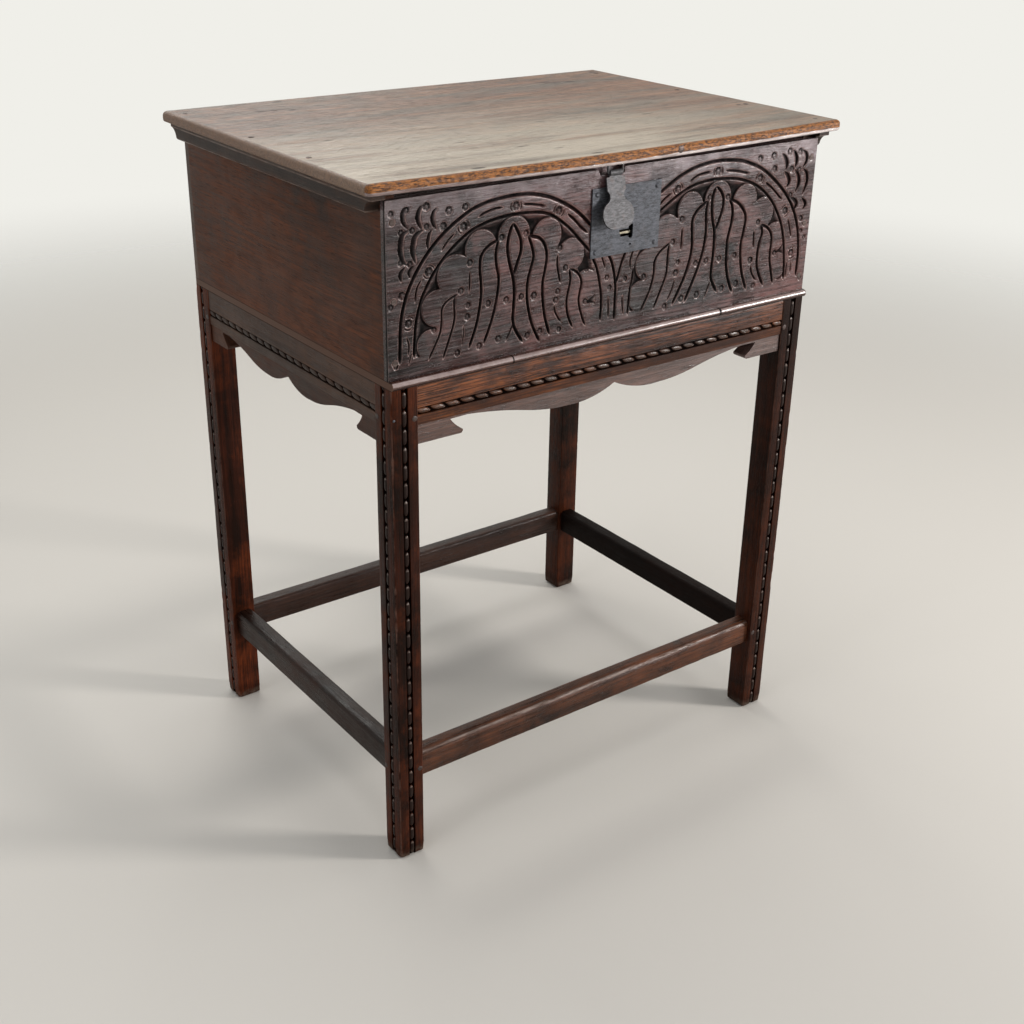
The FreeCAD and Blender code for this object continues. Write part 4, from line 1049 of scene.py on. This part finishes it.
def worn_lid(material):
    """The lid's board with rounded, nicked edges, a sagging front and a wavy top."""
    x0, x1, y0, y1 = LID
    xs, ys = lid_lines()
    top, under = [], []
    for y in ys:
        for x in xs:
            dx, dy = min(x - x0, x1 - x), y - y0
            near = min(dx, dy)
            px, py = x, y
            if dx < 8.0 and dy < 8.0:
                a, b = 8.0 - dx, 8.0 - dy
                shrink = max(a, b) / math.hypot(a, b)
                px = x0 + 8 - a * shrink if x - x0 < x1 - x else x1 - 8 + a * shrink
                py = y0 + 8 - b * shrink
            if near == dy:
                py += 0.5 * max(0.0, wobble(x * 0.03, y * 0.03, 9.0)) * max(0.0, 1 - near / 2.0)
            nick = max(0.0, wobble(x * 0.045, y * 0.045, 5.2) - 0.22) * 3.2
            drop = rounding(near, 5.6 + 0.8 * wobble(x * 0.02, y * 0.02, 0.7))
            drop += nick * max(0.0, 1 - near / 5.0) + 0.5 * max(0.0, 1 - (y1 - y) / 1.2)
            wave = 0.22 * wobble(x * 0.006, y * 0.019, 3.3) + 0.05 * wobble(x * 0.03, y * 0.15, 8.1)
            wave *= min(1.0, near / 8.0)
            sag = lid_sag(x, y)
            top.append((px, py, LID_TOP - drop - sag + wave - clench_recess(x, y)))
            under.append((px, py, LID_UNDER + rounding(near, 3.5) - sag))
    across, down, shift = len(xs), len(ys), len(top)
    faces = []
    for a in range(shift - across):
        if (a + 1) % across:
            faces.append((a, a + 1, a + across + 1, a + across))
            faces.append((shift + a, shift + a + across, shift + a + across + 1, shift + a + 1))
    rim = list(range(across)) + [j * across + across - 1 for j in range(1, down)]
    rim += [(down - 1) * across + i for i in range(across - 2, -1, -1)]
    rim += [j * across for j in range(down - 2, 0, -1)]
    for a, b in zip(rim, rim[1:] + rim[:1]):
        faces.append((b, a, shift + a, shift + b))
    add_mesh("worn_lid", top + under, faces, "lid", material, ["lid_board"], 40.0)


def nail_heads(name, spots, body, material, replaces=(), radius=3.6):
    """Hand-forged heads, each spot a place and the way that it faces."""
    stacks = []
    for number, (place, facing) in enumerate(spots):
        rng = np.random.default_rng(number + 60)
        out = Vector(facing).normalized()
        one = out.orthogonal().normalized()
        spin = rng.uniform(0, 1)
        radii = radius * (1 + 0.08 * rng.standard_normal(12))
        radii *= 1 + 0.07 * np.cos(4 * math.tau * (np.arange(12) + spin) / 12)
        two = out.cross(one)
        stacks.append([round_ring(Vector(place) + out * depth, one, two, radii * share, spin)
                       for depth, share in NAIL_PROFILE])
    closed(name, stacks, body, material, replaces, 40.0)


def bent_staple(material, radius=1.5):
    """Down from the lid, along the hasp's knuckle and up again, with bent corners."""
    middle, half, bend, y, z = -18.5, 11.5, 2.5, -260.5, 887.5
    path = []
    for side, stop in ((-1, 270), (1, -90)):
        x = middle + side * (half - bend)
        leg = [(x + side * bend, 899.0), (x + side * bend, 895.0)]
        leg += arc(x, z + bend, bend, 180 if side < 0 else 0, stop, 5)
        path += [Vector((x, y, z)) for x, z in leg[::-side]]
    rings, side = [], None
    for n, spot in enumerate(path):
        ahead = (path[min(n + 1, len(path) - 1)] - path[max(n - 1, 0)]).normalized()
        side = ahead.orthogonal() if side is None else side - ahead * side.dot(ahead)
        side.normalize()
        rings.append(round_ring(spot, side, ahead.cross(side), [radius] * 12))
    closed("bent_staple", [rings], "lid", material, ["lid_staple"], 50.0)


def build_box():
    carved_board(oak("oak_front", "x", 3.0, (18, 8, 8), (66, 31, 27), (104, 38, 28), gloss=0.26,
                     warmth=0.85, grime_and_shade=cut_grime_and_shade, wear_and_light=cut_wear_and_highlights, spec=0.52, pale=0.2, grey=0.08,
                     slate=(0.62, (38, 31, 36), 3.4, 7.5), crisp=0.09, dull_grain=0.4))
    dress(oak("oak_ends", "y", 7.0, (42, 26, 19), (84, 55, 42), (102, 60, 40), gloss=0.45,
              spec=0.08, warmth=0.8, lines=0.4, crisp=0.09), "end_board_left", "end_board_right")
    dress(oak("oak_back", "x", 9.0, (46, 30, 22), (82, 56, 40), (100, 66, 42), gloss=0.6),
          "back_board")
    dress(oak("oak_floor", "y", 12.0, (54, 30, 23), (98, 60, 48), (112, 64, 46), gloss=0.24,
              wear_and_light=floor_wear_and_light, relief=0.08, grey=0.05),
          "floor_board_left", "floor_board_middle", "floor_board_right")


def build_stand():
    # the back left leg gets a paler copy of the legs' oak and the right legs a darker one: painted
    # light and shade
    legs = {(-1, -1): leg_oak("oak_legs"), (-1, 1): leg_oak("oak_leg_back_left_lit", 1.18)}
    legs[1, -1] = legs[1, 1] = leg_oak("oak_legs_right_shaded", 0.8)
    for side_x, tag_x in SIDES:
        for side_y, tag_y in ((-1, "front"), (1, "back")):
            node = "leg_%s_%s" % (tag_y, tag_x)
            rings = leg_rings(side_x, side_y, 11.3 + side_x * 2 + side_y)
            closed("carved_" + node, [rings], "box_and_stand",
                   legs[side_x, side_y], [node], 32.0)
    long_oak = oak("oak_long", "x", 27.0, (30, 14, 9), (124, 74, 48), (162, 92, 46), gloss=0.32,
                   warmth=0.75, spec=0.16, grime_and_shade=front_rail_grime_and_shade, wear_and_light=front_rail_wear, crisp=0.06,
                   grey=0.04, grain=0.8, lines=0.6)
    cross_oak = oak("oak_cross", "y", 31.0, (48, 33, 26), (86, 62, 49), (98, 66, 46), spec=0.15,
                    grey=0.1, grime_and_shade=side_rail_grime_and_shade, wear_and_light=side_rail_wear, crisp=0.09)
    rails = [("front", long_oak, INNER_X, lambda run, depth, z: (run, depth - RAIL_Y, z),
              pearls(21.1, 43.2, 8.8, 3.6, 2.5, 4.5, slant=1.2))]
    for side, tag in SIDES:
        rails.append((tag, cross_oak, INNER_Y,
                      lambda run, depth, z, side=side: (side * (RAIL_X - depth), run, z),
                      pearls(20.6, 10.3, 8.6, 3.6, 2.4, 4.5, slant=1.2 * side, seed=side)))
    for tag, wood, half_run, place, pearl in rails:
        closed("carved_rail_" + tag, [rail_rings(place, half_run, pearl)], "box_and_stand",
               wood, ["rail_" + tag], 32.0)
    worn_bar("stretcher_front", 0, INNER_X, trodden,
             oak("oak_tread", "x", 41.0, (34, 19, 12), (92, 56, 38), (120, 68, 40), gloss=0.32,
                 spec=0.2, grey=0.05, wear_and_light=tread_wear_and_highlight, crisp=0.08))
    worn_bar("stretcher_back", 0, INNER_X, rubbed,
             oak("oak_low_back", "x", 42.0, (30, 17, 12), (66, 41, 30), (84, 48, 31), gloss=0.34,
                 spec=0.2, grey=0.1))
    worn_bar("stretcher_left", 1, INNER_Y, rubbed,
             oak("oak_low_cross", "y", 43.0, (18, 9, 6), (46, 27, 19), (64, 34, 22), gloss=0.34,
                 spec=0.15, grey=0.05))
    # the right stretcher's oak is nearly black and has almost no gloss: painted shade
    worn_bar("stretcher_right", 1, INNER_Y, rubbed,
             oak("oak_low_right_shaded", "y", 53.0, (8, 4, 3), (22, 12, 8), (32, 17, 11), gloss=0.5,
                 spec=0.05, grey=0.0))
    peg_oak = oak("oak_pegs", "y", 47.0, (26, 15, 11), (66, 42, 31), (74, 42, 28), gloss=0.5)
    pegs("peg_ends_high", 634.0, peg_oak, "rail_pegs")
    pegs("peg_ends_low", 138.0, peg_oak, "stretcher_pegs")
    dress(oak("oak_back_rail", "x", 29.0, (42, 25, 19), (84, 54, 40), (110, 62, 36), gloss=0.5,
              spec=0.4), "rail_back")
    dress(oak("oak_aprons", "x", 35.0, (50, 34, 29), (100, 74, 66), (106, 68, 52), gloss=0.36,
              pale=0.35, crisp=0.08), "apron_front")
    dress(oak("oak_side_aprons", "y", 37.0, (40, 25, 19), (72, 48, 37), (92, 54, 36), spec=0.15,
              grey=0.1), "apron_left", "apron_right")


def build_lid_and_iron():
    worn_lid(oak("oak_lid", "x", 15.0, (48, 33, 22), (126, 94, 66), (140, 88, 54), gloss=0.40,
                 figure=0.6, wear_and_light=lid_wear_and_light, grey=0.15, grain=0.7, lines=0.6, relief=2.0,
                 slate=(0.6, (84, 84, 74), 2.6, 24.0), warmth=0.6, crisp=0.06, dull_grain=0.35))
    dress(oak("oak_cleats", "y", 19.0, (38, 27, 22), (66, 49, 41), (80, 52, 38), spec=0.12,
              wear_and_light=cleat_shading_and_ends, crisp=0.09), "lid_cleat_left", "lid_cleat_right")
    black = iron("iron_plate", (24, 25, 28), (82, 84, 91), (72, 66, 66), metal=0.45, rusty=0.35)
    warm = iron("iron_hasp", (40, 38, 39), (84, 83, 86), (86, 70, 65), metal=0.4)
    nails = iron("iron_nails", (40, 32, 30), (88, 76, 72), (84, 56, 44))
    heads = [((side * 349.5, share * 512.0, LID_TOP), (0, 0, 1)) for side in (-1, 1)
             for share in (-0.21, 0.07, 0.44)]
    nail_heads("lid_nail_heads", heads, "lid", nails, ["lid_nails"])
    nail_heads("edge_nail_head", [((81.7, -265.9, 905.2), (0, -1, 0.1))], "lid", nails, radius=4.6)
    nail_heads("leg_nail_head", [((-336.5, -259.4, 637.0), (0, -1, 0))], "box_and_stand", black,
               radius=1.7)
    bent_staple(warm)
    dress(black, "lock_plate", "lock_plate_nails")
    dress(warm, "hasp")
    dress(iron("iron_bright", (88, 82, 72), (164, 156, 136), (120, 98, 78), gloss=0.42, metal=0.8,
               rusty=0.3), "lock_ward", "lock_bolt", "hasp_loop", "key_pin")
    dress(nails, "front_nails", "back_nails", "floor_nails", "apron_nails",
          "box_hinge_eye_left", "box_hinge_eye_right", "lid_hinge_eye_left", "lid_hinge_eye_right",
          "lock_cover", "bolt_guide_left", "bolt_guide_right", "bolt_spring")


# Camera, floor and lights

def softbox(name, place, target, size, power, tint=(1, 1, 1)):
    light = bpy.data.lights.new(name, "AREA")
    light.shape = "RECTANGLE"
    light.size, light.size_y = size
    light.energy = power
    light.color = tint
    lamp = bpy.data.objects.new(name, light)
    bpy.context.scene.collection.objects.link(lamp)
    lamp.visible_camera = False
    lamp.location = place
    lamp.rotation_euler = (Vector(target) - Vector(place)).to_track_quat("-Z", "Y").to_euler()


def set_camera():
    """The camera that was fitted to the photo: angles in radians, focal length in pixels."""
    yaw, pitch, roll = 0.642197, -0.446511, 0.0174758
    focal, picture, sensor = 1405.81, 1024.0, 36.0
    level = math.cos(pitch)
    ahead = Vector((math.sin(yaw) * level, math.cos(yaw) * level, math.sin(pitch)))
    right = ahead.cross(Vector((0, 0, 1))).normalized()
    up = right.cross(ahead)
    turned_right = math.cos(roll) * right + math.sin(roll) * up
    turned_up = -math.sin(roll) * right + math.cos(roll) * up
    camera = bpy.data.objects.new("photo_camera", bpy.data.cameras.new("photo_camera"))
    camera.data.sensor_width = sensor
    camera.data.lens = focal * sensor / picture
    camera.data.clip_end = 60.0
    matrix = Matrix((turned_right, turned_up, -ahead)).transposed().to_4x4()
    matrix.translation = (-1.130343, -1.551736, 1.246662)
    camera.matrix_world = matrix
    bpy.context.scene.collection.objects.link(camera)
    bpy.context.scene.camera = camera


def pale_floor():
    """Pale, and fading into the backdrop far from the object."""
    s = Shader("pale_floor")
    away = s.node("ShaderNodeMapRange",
                  {"Value": s.length(s.place), "From Min": 1.6, "From Max": 3.8},
                  interpolation_type="SMOOTHSTEP").outputs[0]
    clear = s.node("ShaderNodeBsdfTransparent").outputs[0]
    both = s.node("ShaderNodeMixShader", {0: away, 1: s.bsdf.outputs[0], 2: clear}).outputs[0]
    s.put(s.output.inputs["Surface"], both)
    return s.coat({"Base Color": srgb(212, 207, 199), "Roughness": 0.7})


def set_stage():
    """A round floor, a backdrop and six lamps."""
    mesh = bpy.data.meshes.new("floor")
    radius, corners = 4.3, 96
    ring = [(radius * math.cos(math.tau * n / corners),
             radius * math.sin(math.tau * n / corners), 0.0) for n in range(corners)]
    mesh.from_pydata(ring, [], [list(range(corners))])
    floor = bpy.data.objects.new("floor", mesh)
    mesh.materials.append(pale_floor())
    bpy.context.scene.collection.objects.link(floor)

    # the camera and mirror-like rays see the backdrop, and all others a dim cool sky
    world = bpy.data.worlds.new("studio")
    bpy.context.scene.world = world
    world.use_nodes = True
    sky = Nodes(world.node_tree)
    fill = sky.node("ShaderNodeBackground", {"Color": (0.90, 0.95, 1.0, 1.0), "Strength": 0.2})
    seen = sky.node("ShaderNodeBackground", {"Color": srgb(240, 239, 233), "Strength": 1.0})
    rays = sky.node("ShaderNodeLightPath").outputs
    share = reduce(Value.most, [Value(sky, rays[kind]) for kind in (
        "Is Camera Ray", "Is Glossy Ray", "Is Transmission Ray")])
    either = sky.node("ShaderNodeMixShader", {0: share, 1: fill.outputs[0], 2: seen.outputs[0]})
    sky.node("ShaderNodeOutputWorld", {"Surface": either.outputs[0]})

    middle = (0, 0, 0.65)
    softbox("key", (3.25, -3.0, 1.56), middle, (0.65, 0.65), 155, (1.0, 0.97, 0.94))
    softbox("low", (2.4, -2.8, 0.30), (2.4, 0.0, 0.30), (2.2, 0.3), 22, (0.96, 0.97, 1.0))
    softbox("front", (-0.6, -3.0, 2.2), middle, (1.6, 1.2), 10, (0.97, 0.98, 1.0))
    softbox("left", (-2.9, -0.3, 1.5), middle, (1.4, 1.4), 19, (0.95, 0.97, 1.0))
    softbox("wall", (0.3, 2.45, 2.4), (0, 0, 0.95), (2.0, 1.0), 28, (1.0, 0.99, 0.95))
    softbox("top", (0.2, 0.2, 3.0), (0, 0, 0), (2.4, 2.4), 38)


build_box()
build_stand()
build_lid_and_iron()
set_camera()
set_stage()

scene = bpy.context.scene
scene.view_settings.view_transform = "Standard"
